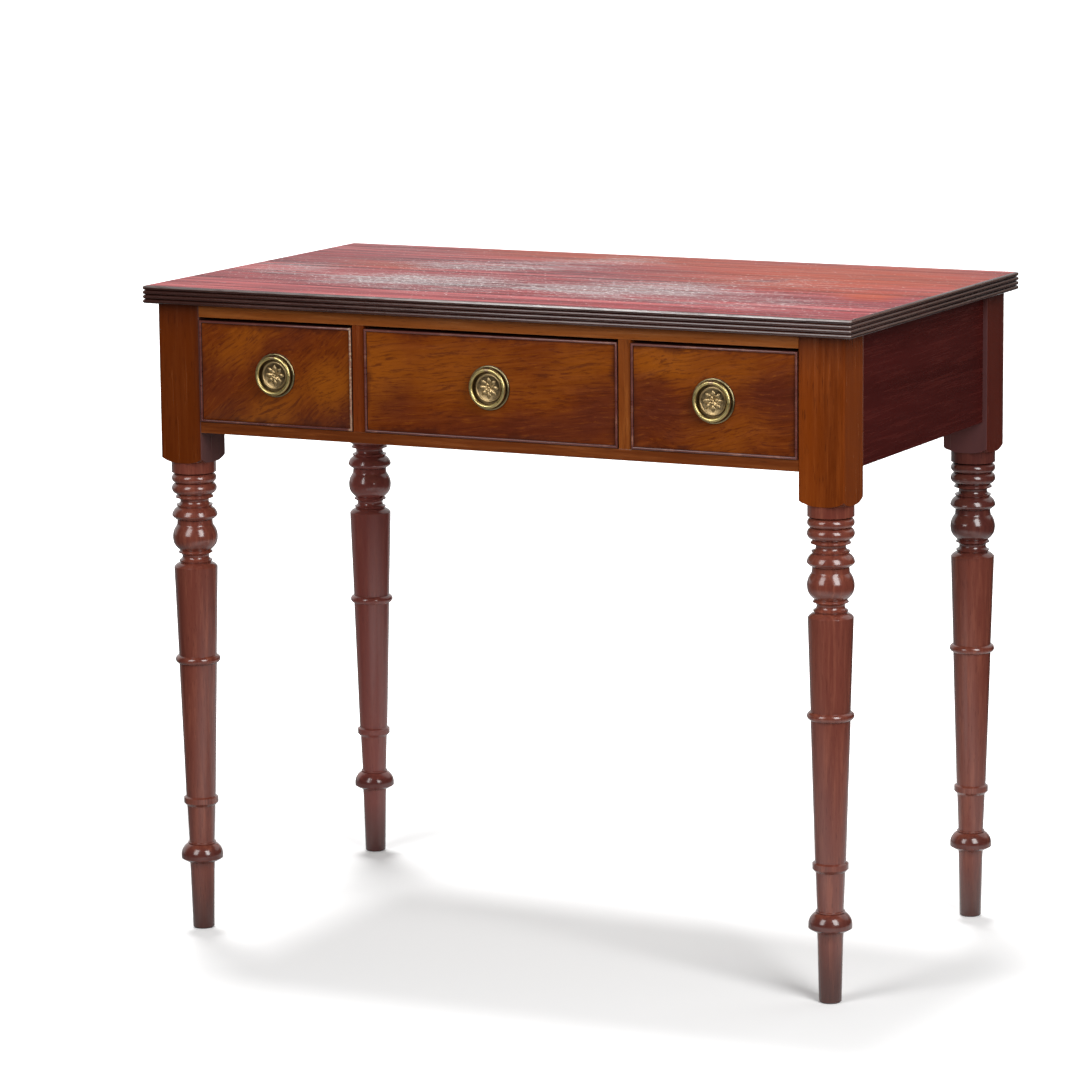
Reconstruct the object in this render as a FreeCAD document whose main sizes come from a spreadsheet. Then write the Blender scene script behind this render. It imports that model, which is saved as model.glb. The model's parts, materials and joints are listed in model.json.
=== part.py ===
import FreeCAD, Part
import os
import Sketcher

# A writing table with three drawers in its frieze, a reeded top and turned legs, in millimetres.
# The origin is on the floor under the middle of the top: +X right, -Y to the front, +Z up.

REED_COUNT = 4
FRONT_TAIL_COUNT = 4
BACK_TAIL_COUNT = 3
NUT_SIDES = 6
HANDS = {"left": -1, "right": 1}
ENDS = {"front": -1, "back": 1}

sizes = {
    # the whole table and its top
    "table_height": 740,
    "top_length": 854,
    "top_depth": 489,
    "top_thickness": 20,
    "top_overhang": 12.5,
    "reed_projection": 2.2,
    # square posts at the head of the legs
    "post_width": 52,
    "post_length": 180,
    "shoulder_height": 6,
    # turned members under the post, from the top down
    "collar_height": 12.5,
    "collar_groove_height": 1.4,
    "upper_bead_height": 10.7,
    "lower_bead_height": 12.8,
    "upper_fillet_height": 3.4,
    "upper_fillet_edge_height": 0.8,
    "upper_reel_height": 7.9,
    "upper_reel_edge_height": 0.8,
    "upper_notch_height": 2,
    "half_bead_height": 9.7,
    "half_bead_under_height": 5,
    "vase_neck_height": 4.8,
    "vase_flare_height": 1.6,
    "vase_belly_height": 20.6,
    "vase_base_height": 7.6,
    "lower_fillet_height": 2.2,
    "lower_fillet_edge_height": 0.8,
    "lower_reel_height": 8.4,
    "lower_reel_edge_height": 0.8,
    "lower_notch_height": 2,
    "shaft_shoulder_height": 5,
    "collar_diameter": 50,
    "bead_root_diameter": 41,
    "upper_bead_diameter": 50.4,
    "lower_bead_diameter": 50.8,
    "upper_root_diameter": 38,
    "upper_fillet_diameter": 43,
    "upper_reel_diameter": 32,
    "upper_reel_edge_diameter": 41,
    "half_bead_diameter": 51.2,
    "half_bead_under_diameter": 37,
    "vase_neck_diameter": 40,
    "vase_flare_diameter": 41.5,
    "vase_belly_diameter": 50.2,
    "vase_base_diameter": 48,
    "lower_root_diameter": 34.5,
    "lower_fillet_diameter": 38.3,
    "lower_reel_diameter": 30,
    "lower_reel_edge_diameter": 37.4,
    # tapered shaft with its ring, and the members above the floor, from the floor up
    "shaft_head_diameter": 49,
    "shaft_middle_diameter": 42.7,
    "shaft_foot_diameter": 33.5,
    "shaft_ring_drop_height": 106.2,
    "shaft_ring_height": 9.2,
    "shaft_ring_diameter": 50.7,
    "peg_height": 77,
    "bell_under_height": 5,
    "bell_band_height": 2,
    "bell_height": 15,
    "lip_height": 2,
    "ankle_height": 42,
    "cuff_under_height": 3.7,
    "cuff_height": 6,
    "cuff_cap_height": 1.5,
    "peg_diameter": 24.3,
    "peg_head_diameter": 27.6,
    "peg_arris_width": 1.5,
    "bell_diameter": 47.2,
    "lip_diameter": 30,
    "ankle_foot_diameter": 27.6,
    "ankle_head_diameter": 31.8,
    "cuff_diameter": 38.8,
    # rails of the frieze and their tenons in the posts
    "frieze_height": 144,
    "rail_thickness": 20,
    "rail_setback": 5,
    "tenon_thickness": 8,
    "tenon_length": 24,
    "tenon_height": 46,
    "tenon_margin": 14,
    "mortise_clearance": 1,
    "front_rail_depth": 52,
    "bottom_rail_height": 12.5,
    "top_rail_height": 14,
    "front_tenon_length": 20,
    "front_tenon_width": 30,
    "front_tenon_thickness": 6,
    "rail_tail_length": 22,
    "rail_tail_neck_width": 22,
    "rail_tail_end_width": 30,
    "rail_tail_thickness": 9,
    # dividers between the drawers
    "side_opening_width": 194,
    "divider_width": 14.5,
    "divider_tenon_thickness": 6,
    "divider_tenon_width": 26,
    "divider_tenon_length": 6,
    # what carries and guides the drawers
    "runner_bearing_width": 16,
    "guide_height": 30,
    "stop_width": 28,
    "stop_depth": 14,
    "stop_height": 5,
    "stop_spacing": 100,
    "stop_clearance": 0.3,
    # what holds the top down
    "glue_block_length": 40,
    "glue_block_width": 22,
    "glue_block_bevel_width": 10,
    "screw_length": 28,
    "screw_diameter": 4,
    "screw_head_diameter": 8,
    "screw_head_height": 3,
    "screw_spacing": 200,
    "screw_clearance": 0.15,
    # drawers
    "drawer_back_clearance": 34,
    "drawer_foot_clearance": 0.3,
    "drawer_head_clearance": 3,
    "drawer_side_clearance": 0.6,
    "drawer_front_thickness": 20,
    "lining_thickness": 10,
    "drawer_side_height": 108,
    "drawer_back_drop_height": 6,
    "front_lap_thickness": 8,
    "bottom_rise_height": 8,
    "bottom_thickness": 6,
    "groove_depth": 4,
    "groove_clearance": 0.2,
    "bead_width": 3,
    "bead_depth": 8,
    "bead_projection": 2,
    # brass handles
    "plate_diameter": 49,
    "plate_edge_height": 0.8,
    "plate_floor_height": 1,
    "rim_width": 2.6,
    "rim_height": 2.2,
    "medallion_diameter": 31,
    "medallion_bead_width": 1.8,
    "medallion_height": 3.5,
    "medallion_field_height": 2.7,
    "medallion_crown_height": 3.3,
    "medallion_boss_diameter": 7,
    "ring_diameter": 40,
    "ring_wire_diameter": 4.2,
    "ring_stand_height": 3,
    "ring_clearance": 0.3,
    "knuckle_width": 5,
    "knuckle_diameter": 3.9,
    "pin_diameter": 2,
    "pin_root_length": 1.5,
    "pin_end_gap_width": 0.8,
    "pin_clearance": 0.06,
    "shank_diameter": 3.2,
    "shank_spare_length": 2,
    "shank_clearance": 0.1,
    "nut_width": 8,
    "nut_thickness": 3.5,
    # how far every cut runs past the face that it opens
    "cut_overrun": 2,
}

shares = {
    "quick_start_share": 0.7,
    "slow_start_share": 0.3,
    "tail_end_share": 0.62,
    "tail_neck_share": 0.46,
    "bead_nose_share": 0.45,
}

places = {
    "top_foot": "=Size.table_height - Size.top_thickness",
    "post_foot": "=top_foot - Size.post_length",
    "leg_x": "=Size.top_length / 2 - Size.top_overhang - Size.post_width / 2",
    "leg_y": "=Size.top_depth / 2 - Size.top_overhang - Size.post_width / 2",
    "post_inner_x": "=leg_x - Size.post_width / 2",
    "post_inner_y": "=leg_y - Size.post_width / 2",
    "front_face": "=-leg_y - Size.post_width / 2",
    "frieze_foot": "=top_foot - Size.frieze_height",
    "side_rail_inner": "=leg_x + Size.post_width / 2 - Size.rail_setback - Size.rail_thickness",
    "back_rail_inner": "=leg_y + Size.post_width / 2 - Size.rail_setback - Size.rail_thickness",
    "front_rail_back": "=front_face + Size.front_rail_depth",
    "opening_foot": "=frieze_foot + Size.bottom_rail_height",
    "opening_head": "=top_foot - Size.top_rail_height",
    "divider_x": "=post_inner_x - Size.side_opening_width - Size.divider_width / 2",
    "outer_bearing": "=post_inner_x - Size.runner_bearing_width",
    "outer_strip_width": "=side_rail_inner - outer_bearing",
    "inner_strip_width": "=Size.divider_width + 2 * Size.runner_bearing_width",
    "inner_strip_length": "=back_rail_inner - front_rail_back",
    "drawer_depth": "=back_rail_inner - Size.drawer_back_clearance - front_face",
    "drawer_foot": "=opening_foot + Size.drawer_foot_clearance",
    "drawer_front_height": "=opening_head - Size.drawer_head_clearance - drawer_foot",
    "drawer_front_back": "=front_face + Size.drawer_front_thickness",
    "drawer_back_inner": "=front_face + drawer_depth - Size.lining_thickness",
    "drawer_back_foot": "=drawer_foot + Size.bottom_rise_height + Size.bottom_thickness",
    "drawer_back_head": "=drawer_foot + Size.drawer_side_height - Size.drawer_back_drop_height",
    "drawer_back_height": "=drawer_back_head - drawer_back_foot",
    "side_drawer_x": "=post_inner_x - Size.side_opening_width / 2",
    "side_drawer_width": "=Size.side_opening_width - 2 * Size.drawer_side_clearance",
    "centre_drawer_width": "=2 * divider_x - Size.divider_width - 2 * Size.drawer_side_clearance",
    "handle_z": "=drawer_foot + drawer_front_height / 2",
    "ring_height": "=Size.plate_floor_height + Size.ring_stand_height + Size.ring_wire_diameter / 2",
    "ring_gap": "=Size.knuckle_width + 2 * Size.ring_clearance",
    "pivot_rise": "=sqrt((Size.ring_diameter / 2)^2 - (ring_gap / 2)^2)",
}

# Each turned member hangs from the foot of the member above it, down to the head of the shaft.
hanging_members = (
    "collar", "collar_groove", "upper_bead", "lower_bead", "upper_fillet", "upper_fillet_edge",
    "upper_reel", "upper_reel_edge", "upper_notch", "half_bead", "half_bead_under", "vase_neck",
    "vase_flare", "vase_belly", "vase_base", "lower_fillet", "lower_fillet_edge", "lower_reel",
    "lower_reel_edge", "lower_notch", "shaft_shoulder",
)
member_above = "post"
for member in hanging_members:
    places[f"{member}_foot"] = f"={member_above}_foot - Size.{member}_height"
    member_above = member
places["shaft_ring_level"] = "=shaft_shoulder_foot - Size.shaft_ring_drop_height"

# The members above the floor stand on each other, up to the foot of the shaft.
standing_members = (
    "peg", "bell_under", "bell_band", "bell", "lip", "ankle", "cuff_under", "cuff", "cuff_cap",
)
level_below = "0"
for member in standing_members:
    places[f"{member}_head"] = f"={level_below} + Size.{member}_height"
    level_below = f"{member}_head"

doc = FreeCAD.newDocument("writing_table")


def fill_sheet(name, cells):
    """A sheet with one named cell for each entry."""
    sheet = doc.addObject("Spreadsheet::Sheet", name)
    for row, (alias, content) in enumerate(cells.items(), start=1):
        sheet.set(f"A{row}", alias)
        sheet.set(f"B{row}", str(content))
        sheet.setAlias(f"B{row}", alias)
    return sheet


fill_sheet("Size", sizes)
fill_sheet("Share", shares)
fill_sheet("Place", places)
work_sheet = fill_sheet("Work", {"result": 0})
doc.recompute()

origins = {}
subparts = []


def number(formula):
    """The present value of a formula, as a starting point for a sketch."""
    work_sheet.set("result", f"={formula}")
    work_sheet.recompute()
    return float(work_sheet.get("result"))


def mirrored(span, sign):
    """A span (start, length) as given for the positive side, or its mirror image."""
    start, length = span
    if sign > 0:
        return span
    return (f"-({start}) - ({length})", length)


def centred(middle, length):
    """A span of the given length about its middle."""
    return (f"{middle} - ({length}) / 2", length)


def new_body(label, origin, facing_front=False):
    """An empty body with its own origin; its local Z is up, or points out of the table's front."""
    body = doc.addObject("PartDesign::Body", label)
    body.Label = label
    if facing_front:
        turn = FreeCAD.Rotation(FreeCAD.Vector(1, 0, 0), 90)
        body.Placement = FreeCAD.Placement(FreeCAD.Vector(), turn)
    for axis, formula in zip("xyz", origin):
        body.setExpression(f"Placement.Base.{axis}", formula)
    origins[body.Name] = origin
    return body


def subpart(piece):
    """List a finished piece as one of the table's nodes."""
    subparts.append(piece)
    return piece


def origin_feature(body, role):
    """One of the body's own origin planes or axes."""
    return next(item for item in body.Origin.OriginFeatures if item.Role == role)


def bind_sizes(feature, bindings):
    """Bind the feature's sizes to formulas."""
    for prop, formula in bindings.items():
        feature.setExpression(prop, formula)


def bind_place(feature, local_place):
    """Bind the feature's place in its body to formulas."""
    for axis, formula in zip("xyz", local_place):
        feature.setExpression(f"Placement.Base.{axis}", formula)


def box(body, kind, name, spans):
    """Add or cut a box whose spans along X, Y and Z are given in the table's frame."""
    feature = body.newObject(f"PartDesign::{kind}Box", name)
    starts = [start for start, length in spans]
    lengths = [length for start, length in spans]
    bind_sizes(feature, dict(zip(("Length", "Width", "Height"), lengths)))
    bind_place(feature, [f"{start} - ({zero})" for start, zero in zip(starts, origins[body.Name])])
    return feature


def board(label, spans):
    """A rectangular piece of wood with its origin at its lowest corner."""
    body = new_body(label, [start for start, length in spans])
    box(body, "Additive", "board", spans)
    return body


def closed_sketch(body, name, plane, outline):
    """A closed sketch through corners given as pairs of formulas.

    A corner with a third entry starts an arc, and that entry is a point which the arc passes through.
    """
    sketch = body.newObject("Sketcher::SketchObject", name)
    sketch.AttachmentSupport = (origin_feature(body, plane), "")
    sketch.MapMode = "FlatFace"
    corners = [FreeCAD.Vector(number(corner[0]), number(corner[1]), 0) for corner in outline]
    edges = []
    ends = []
    passed_points = []
    for index, corner in enumerate(outline):
        start = corners[index]
        end = corners[(index + 1) % len(outline)]
        if len(corner) == 2:
            edges.append(Part.LineSegment(start, end))
            ends.append((1, 2))
            continue
        passed = FreeCAD.Vector(number(corner[2][0]), number(corner[2][1]), 0)
        turns_left = (passed - start).cross(end - passed).z > 0
        edges.append(Part.Arc(start, passed, end) if turns_left else Part.Arc(end, passed, start))
        ends.append((1, 2) if turns_left else (2, 1))
        passed_points.append((index, passed, corner[2]))
    sketch.addGeometry(edges, False)
    sketch.addGeometry([Part.Point(passed) for index, passed, formulas in passed_points], True)

    constraints = []
    bindings = {}

    def pin(geometry, point, x_formula, y_formula):
        place = zip(("DistanceX", "DistanceY"), (-2, -1), (x_formula, y_formula))
        for kind, axis, formula in place:
            if formula == "0":
                constraints.append(Sketcher.Constraint("PointOnObject", geometry, point, axis))
                continue
            bindings[len(constraints)] = formula
            constraints.append(Sketcher.Constraint(kind, -1, 1, geometry, point, number(formula)))

    for index, corner in enumerate(outline):
        following = (index + 1) % len(outline)
        constraints.append(
            Sketcher.Constraint("Coincident", index, ends[index][1], following, ends[following][0]))
        pin(index, ends[index][0], corner[0], corner[1])
    for offset, (index, passed, formulas) in enumerate(passed_points):
        point = len(edges) + offset
        pin(point, 1, formulas[0], formulas[1])
        constraints.append(Sketcher.Constraint("PointOnObject", point, 1, index))
    sketch.addConstraint(constraints)
    for index, formula in bindings.items():
        sketch.setExpression(f"Constraints[{index}]", formula)
    return sketch


def revolve(body, kind, name, outline):
    """Turn an outline of radii and heights about the body's Z axis, to add or to cut."""
    sketch = closed_sketch(body, f"{name}_outline", "XZ_Plane", outline)
    feature = body.newObject(f"PartDesign::{kind}", name)
    feature.Profile = sketch
    feature.ReferenceAxis = (sketch, ["V_Axis"])
    feature.Angle = 360
    return feature


def cylinder(body, kind, name, diameter, length, local_place, along=None):
    """Add or cut a cylinder; its axis is the body's Z unless another direction is given."""
    feature = body.newObject(f"PartDesign::{kind}Cylinder", name)
    bind_sizes(feature, {"Radius": f"({diameter}) / 2", "Height": length})
    if along:
        turn = FreeCAD.Rotation(FreeCAD.Vector(0, 0, 1), along)
        feature.Placement = FreeCAD.Placement(FreeCAD.Vector(), turn)
    bind_place(feature, local_place)
    return feature


def bowed(start, end, share):
    """A corner that starts an arc to the next corner, bowed at mid height by a share of the step."""
    passed = (f"{start[0]} + ({end[0]} - {start[0]}) * Share.{share}", f"({start[1]} + {end[1]}) / 2")
    return (start[0], start[1], passed)


def tail(body, kind, name, widths, length, depth, table_place, along, across):
    """Add or cut a dovetail that widens from its neck to its end along one direction.

    widths are those of the neck and the end; depth is its thickness in the direction across.
    """
    neck, end = widths
    feature = body.newObject(f"PartDesign::{kind}Wedge", name)
    bind_sizes(feature, {
        "Xmin": f"-({neck}) / 2", "Xmax": f"({neck}) / 2",
        "X2min": f"-({end}) / 2", "X2max": f"({end}) / 2",
        "Ymin": "0", "Ymax": length,
        "Zmin": "0", "Zmax": depth, "Z2min": "0", "Z2max": depth,
    })
    turn = FreeCAD.Rotation(along.cross(across), along, across, "YZX")
    feature.Placement = FreeCAD.Placement(FreeCAD.Vector(), turn)
    bind_place(feature, [f"{start} - ({zero})" for start, zero in zip(table_place, origins[body.Name])])
    return feature


def tail_row(body, kind, name, x_span, neck_y, length, sign, run, count):
    """A row of dovetails up a drawer's corner, on its side or in the board that the side enters.

    With a negative sign the tails point to the front; run is the span along Z that they fill.
    """
    pitch = f"({run[1]}) / {count}"
    widths = (f"{pitch} * Share.tail_neck_share", f"{pitch} * Share.tail_end_share")
    first_place = (x_span[0], neck_y, f"{run[0]} + {pitch} / 2")
    along = FreeCAD.Vector(0, sign, 0)
    across = FreeCAD.Vector(1, 0, 0)
    first = tail(body, kind, name, widths, length, x_span[1], first_place, along, across)
    row = body.newObject("PartDesign::LinearPattern", f"{name}_row")
    row.Originals = [first]
    row.Direction = (origin_feature(body, "Z_Axis"), [""])
    row.setExpression("Length", f"{pitch} * {count - 1}")
    row.Occurrences = count
    body.Tip = row
    return row


def group(label, pieces):
    """Several like solids that share one node."""
    compound = doc.addObject("Part::Compound", label)
    compound.Label = label
    compound.Links = pieces
    return subpart(compound)


def radius(name):
    return f"Size.{name}_diameter / 2"


def foot(name):
    return f"Place.{name}_foot"


def head(name):
    return f"Place.{name}_head"


def between(first, second):
    return f"({first} + {second}) / 2"


frieze = ("Place.frieze_foot", "Size.frieze_height")
between_posts_x = ("-Place.post_inner_x", "2 * Place.post_inner_x")
between_posts_y = ("-Place.post_inner_y", "2 * Place.post_inner_y")
front_rail_y = ("Place.front_face", "Size.front_rail_depth")
divider_tenon_y = centred("Place.front_face + Size.front_rail_depth / 2", "Size.divider_tenon_width")

# The strips that run from front to back under the top: their middles and their spans along X and Y.
outer_strip = ("Place.outer_bearing", "Place.outer_strip_width")
inner_strip = centred("Place.divider_x", "Place.inner_strip_width")
inner_strip_run = ("Place.front_rail_back", "Place.inner_strip_length")
strips = {
    "outer": (between("Place.outer_bearing", "Place.side_rail_inner"), outer_strip, between_posts_y),
    "inner": ("Place.divider_x", inner_strip, inner_strip_run),
}
screw_hole = "Size.screw_diameter + 2 * Size.screw_clearance"
screw_head_hole = "Size.screw_head_diameter + 2 * Size.screw_clearance"


def screw_places(strip_middle, sign):
    """Where the two screws of a kicker stand."""
    return [(f"{sign} * {strip_middle}", f"{end} * Size.screw_spacing / 2") for end in ENDS.values()]


def reeds(edge, sign, rising):
    """Corners along a reeded edge, one arc for each reed; edge is how far the reeds reach."""
    root = f"{sign} * ({edge} - Size.reed_projection)"
    crest = f"{sign} * ({edge})"
    levels = ["0"]
    levels += [f"Size.top_thickness * {count} / {REED_COUNT}" for count in range(1, REED_COUNT + 1)]
    if not rising:
        levels.reverse()
    corners = [(root, low, (crest, between(low, high))) for low, high in zip(levels, levels[1:])]
    return corners + [(root, levels[-1])]


def make_top():
    """One board with reeds round all four edges, which mitre at its corners."""
    body = new_body("table_top", ("0", "0", "Place.top_foot"))
    long_edge = "Size.top_depth / 2"
    section = reeds(long_edge, 1, True) + reeds(long_edge, -1, False)
    pad = body.newObject("PartDesign::Pad", "board")
    pad.Profile = closed_sketch(body, "long_section", "YZ_Plane", section)
    pad.SideType = "Symmetric"
    pad.setExpression("Length", "Size.top_length")
    end_edge = "Size.top_length / 2"
    for hand, sign in HANDS.items():
        root = f"{sign} * ({end_edge} - Size.reed_projection)"
        beyond = f"{sign} * ({end_edge} + Size.cut_overrun)"
        above = "Size.top_thickness + Size.cut_overrun"
        below = "-Size.cut_overrun"
        waste = reeds(end_edge, sign, True)
        waste += [(root, above), (beyond, above), (beyond, below), (root, below)]
        pocket = body.newObject("PartDesign::Pocket", f"reeds_{hand}")
        pocket.Profile = closed_sketch(body, f"waste_{hand}", "XZ_Plane", waste)
        pocket.SideType = "Symmetric"
        pocket.setExpression("Length", "Size.top_depth + 2 * Size.cut_overrun")
    screw_end = "Place.opening_head + Size.screw_length"
    depth = f"{screw_end} + Size.mortise_clearance - Place.top_foot + Size.cut_overrun"
    for middle, x_span, y_span in strips.values():
        for sign in HANDS.values():
            for x, y in screw_places(middle, sign):
                place = (x, y, "-Size.cut_overrun")
                cylinder(body, "Subtractive", "screw_hole", screw_hole, depth, place)
    return subpart(body)


# Joints of the rails with the posts, given for the right-hand and back side and mirrored elsewhere.
tenon_levels = {
    "lower": ("Place.frieze_foot + Size.tenon_margin", "Size.tenon_height"),
    "upper": ("Place.top_foot - Size.tenon_margin - Size.tenon_height", "Size.tenon_height"),
}
tenon_set_in = "(Size.rail_thickness - Size.tenon_thickness) / 2"
side_tenon_x = (f"Place.side_rail_inner + {tenon_set_in}", "Size.tenon_thickness")
back_tenon_y = (f"Place.back_rail_inner + {tenon_set_in}", "Size.tenon_thickness")
front_tenon_y = centred("Place.front_face + Size.front_rail_depth / 2", "Size.front_tenon_width")
front_tenon_z = centred("Place.frieze_foot + Size.bottom_rail_height / 2", "Size.front_tenon_thickness")
rail_tail_widths = ("Size.rail_tail_neck_width", "Size.rail_tail_end_width")


def rail_tail(body, kind, sign, length):
    """The dovetail of the front top rail, let into the head of a post."""
    place = (
        f"{sign} * Place.post_inner_x",
        "Place.front_face + Size.front_rail_depth / 2",
        "Place.top_foot - Size.rail_tail_thickness",
    )
    along = FreeCAD.Vector(sign, 0, 0)
    up = FreeCAD.Vector(0, 0, 1)
    thickness = "Size.rail_tail_thickness"
    return tail(body, kind, "rail_tail", rail_tail_widths, length, thickness, place, along, up)


leg_outline = [
    ("0", foot("post")),
    (radius("collar"), foot("post")),
    (radius("collar"), foot("collar")),
    (radius("bead_root"), foot("collar_groove"),
     (radius("upper_bead"), between(foot("collar_groove"), foot("upper_bead")))),
    (radius("bead_root"), foot("upper_bead"),
     (radius("lower_bead"), between(foot("upper_bead"), foot("lower_bead")))),
    (radius("upper_root"), foot("lower_bead")),
    (radius("upper_fillet"), foot("upper_fillet")),
    (radius("upper_fillet"), foot("upper_fillet_edge"),
     (radius("upper_reel"), between(foot("upper_fillet_edge"), foot("upper_reel")))),
    (radius("upper_reel_edge"), foot("upper_reel")),
    (radius("upper_reel_edge"), foot("upper_reel_edge")),
    bowed((radius("upper_root"), foot("upper_notch")),
          (radius("half_bead"), foot("half_bead")), "quick_start_share"),
    bowed((radius("half_bead"), foot("half_bead")),
          (radius("half_bead_under"), foot("half_bead_under")), "slow_start_share"),
    (radius("half_bead_under"), foot("half_bead_under")),
    (radius("vase_neck"), foot("half_bead_under")),
    bowed((radius("vase_neck"), foot("vase_neck")),
          (radius("vase_flare"), foot("vase_flare")), "slow_start_share"),
    (radius("vase_flare"), foot("vase_flare"),
     (radius("vase_belly"), between(foot("vase_flare"), foot("vase_belly")))),
    bowed((radius("vase_base"), foot("vase_belly")),
          (radius("lower_root"), foot("vase_base")), "slow_start_share"),
    (radius("lower_root"), foot("vase_base")),
    (radius("lower_fillet"), foot("lower_fillet")),
    (radius("lower_fillet"), foot("lower_fillet_edge"),
     (radius("lower_reel"), between(foot("lower_fillet_edge"), foot("lower_reel")))),
    (radius("lower_reel_edge"), foot("lower_reel")),
    (radius("lower_reel_edge"), foot("lower_reel_edge")),
    bowed((radius("lower_root"), foot("lower_notch")),
          (radius("shaft_head"), foot("shaft_shoulder")), "quick_start_share"),
    (radius("shaft_head"), foot("shaft_shoulder")),
    (radius("shaft_middle"), "Place.shaft_ring_level + Size.shaft_ring_height / 2",
     (radius("shaft_ring"), "Place.shaft_ring_level")),
    (radius("shaft_middle"), "Place.shaft_ring_level - Size.shaft_ring_height / 2"),
    (radius("shaft_foot"), head("cuff_cap")),
    (radius("cuff"), head("cuff")),
    (radius("cuff"), head("cuff_under")),
    (radius("ankle_head"), head("ankle")),
    (radius("ankle_foot"), head("lip")),
    (radius("lip"), between(head("bell"), head("lip"))),
    bowed((radius("lip"), head("bell")), (radius("bell"), head("bell_band")), "quick_start_share"),
    (radius("bell"), head("bell_band")),
    (radius("bell"), head("bell_under")),
    (radius("peg_head"), head("peg")),
    (radius("peg"), "Size.peg_arris_width"),
    (f"{radius('peg')} - Size.peg_arris_width", "0"),
    ("0", "0"),
]


def make_leg(end_name, hand_name):
    """A leg from one length of wood: a square post with a turned shoulder, and the turning under it."""
    hand = HANDS[hand_name]
    end = ENDS[end_name]
    leg_x = f"{hand} * Place.leg_x"
    leg_y = f"{end} * Place.leg_y"
    body = new_body(f"leg_{end_name}_{hand_name}", (leg_x, leg_y, "0"))
    box(body, "Additive", "post", [
        centred(leg_x, "Size.post_width"),
        centred(leg_y, "Size.post_width"),
        (foot("post"), "Size.post_length"),
    ])
    half_width = "Size.post_width / 2"
    corner = "Size.post_width / sqrt(2)"
    corner_level = "Place.post_foot + Size.shoulder_height"
    beyond = f"{corner} + Size.cut_overrun"
    below = "Place.post_foot - Size.cut_overrun"
    revolve(body, "Groove", "shoulder", [
        bowed((half_width, foot("post")), (corner, corner_level), "quick_start_share"),
        (corner, corner_level),
        (beyond, corner_level),
        (beyond, below),
        (half_width, below),
    ])
    revolve(body, "Revolution", "turning", leg_outline)
    mortise_depth = "Size.tenon_length + Size.mortise_clearance"
    into_end = mirrored(("Place.post_inner_y", mortise_depth), end)
    into_side = mirrored(("Place.post_inner_x", mortise_depth), hand)
    for level in tenon_levels.values():
        box(body, "Subtractive", "side_rail_mortise", [mirrored(side_tenon_x, hand), into_end, level])
        if end_name == "back":
            box(body, "Subtractive", "back_rail_mortise", [into_side, back_tenon_y, level])
    if end_name == "front":
        depth = "Size.front_tenon_length + Size.mortise_clearance"
        into_front = mirrored(("Place.post_inner_x", depth), hand)
        box(body, "Subtractive", "bottom_rail_mortise", [into_front, front_tenon_y, front_tenon_z])
        rail_tail(body, "Subtractive", hand, "Size.rail_tail_length")
    return subpart(body)


def divider_tenon_x(sign):
    return centred(f"{sign} * Place.divider_x", "Size.divider_tenon_thickness")


def make_side_rail(hand_name):
    hand = HANDS[hand_name]
    thickness = mirrored(("Place.side_rail_inner", "Size.rail_thickness"), hand)
    body = board(f"side_rail_{hand_name}", [thickness, between_posts_y, frieze])
    for end in ENDS.values():
        reach = mirrored(("Place.post_inner_y", "Size.tenon_length"), end)
        for level in tenon_levels.values():
            box(body, "Additive", "tenon", [mirrored(side_tenon_x, hand), reach, level])
    return subpart(body)


def make_back_rail():
    thickness = ("Place.back_rail_inner", "Size.rail_thickness")
    body = board("back_rail", [between_posts_x, thickness, frieze])
    for hand in HANDS.values():
        reach = mirrored(("Place.post_inner_x", "Size.tenon_length"), hand)
        for level in tenon_levels.values():
            box(body, "Additive", "tenon", [reach, back_tenon_y, level])
    return subpart(body)


def make_front_rails():
    """The thin rails over and under the drawers, with mortises for the dividers."""
    bottom = board("front_bottom_rail", [
        between_posts_x, front_rail_y, ("Place.frieze_foot", "Size.bottom_rail_height")])
    top = board("front_top_rail", [
        between_posts_x, front_rail_y, ("Place.opening_head", "Size.top_rail_height")])
    for hand in HANDS.values():
        reach = mirrored(("Place.post_inner_x", "Size.front_tenon_length"), hand)
        box(bottom, "Additive", "tenon", [reach, front_tenon_y, front_tenon_z])
        rail_tail(top, "Additive", hand, "Size.rail_tail_length")
        down = ("Place.opening_foot - Size.divider_tenon_length", "Size.divider_tenon_length")
        up = ("Place.opening_head", "Size.divider_tenon_length")
        box(bottom, "Subtractive", "divider_mortise", [divider_tenon_x(hand), divider_tenon_y, down])
        box(top, "Subtractive", "divider_mortise", [divider_tenon_x(hand), divider_tenon_y, up])
    subpart(bottom)
    subpart(top)


def make_divider(hand_name):
    hand = HANDS[hand_name]
    height = ("Place.opening_foot", "Place.opening_head - Place.opening_foot")
    width = centred(f"{hand} * Place.divider_x", "Size.divider_width")
    body = board(f"drawer_divider_{hand_name}", [width, front_rail_y, height])
    full = (
        "Place.opening_foot - Size.divider_tenon_length",
        "Place.opening_head - Place.opening_foot + 2 * Size.divider_tenon_length",
    )
    box(body, "Additive", "tenons", [divider_tenon_x(hand), divider_tenon_y, full])
    return subpart(body)


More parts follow.
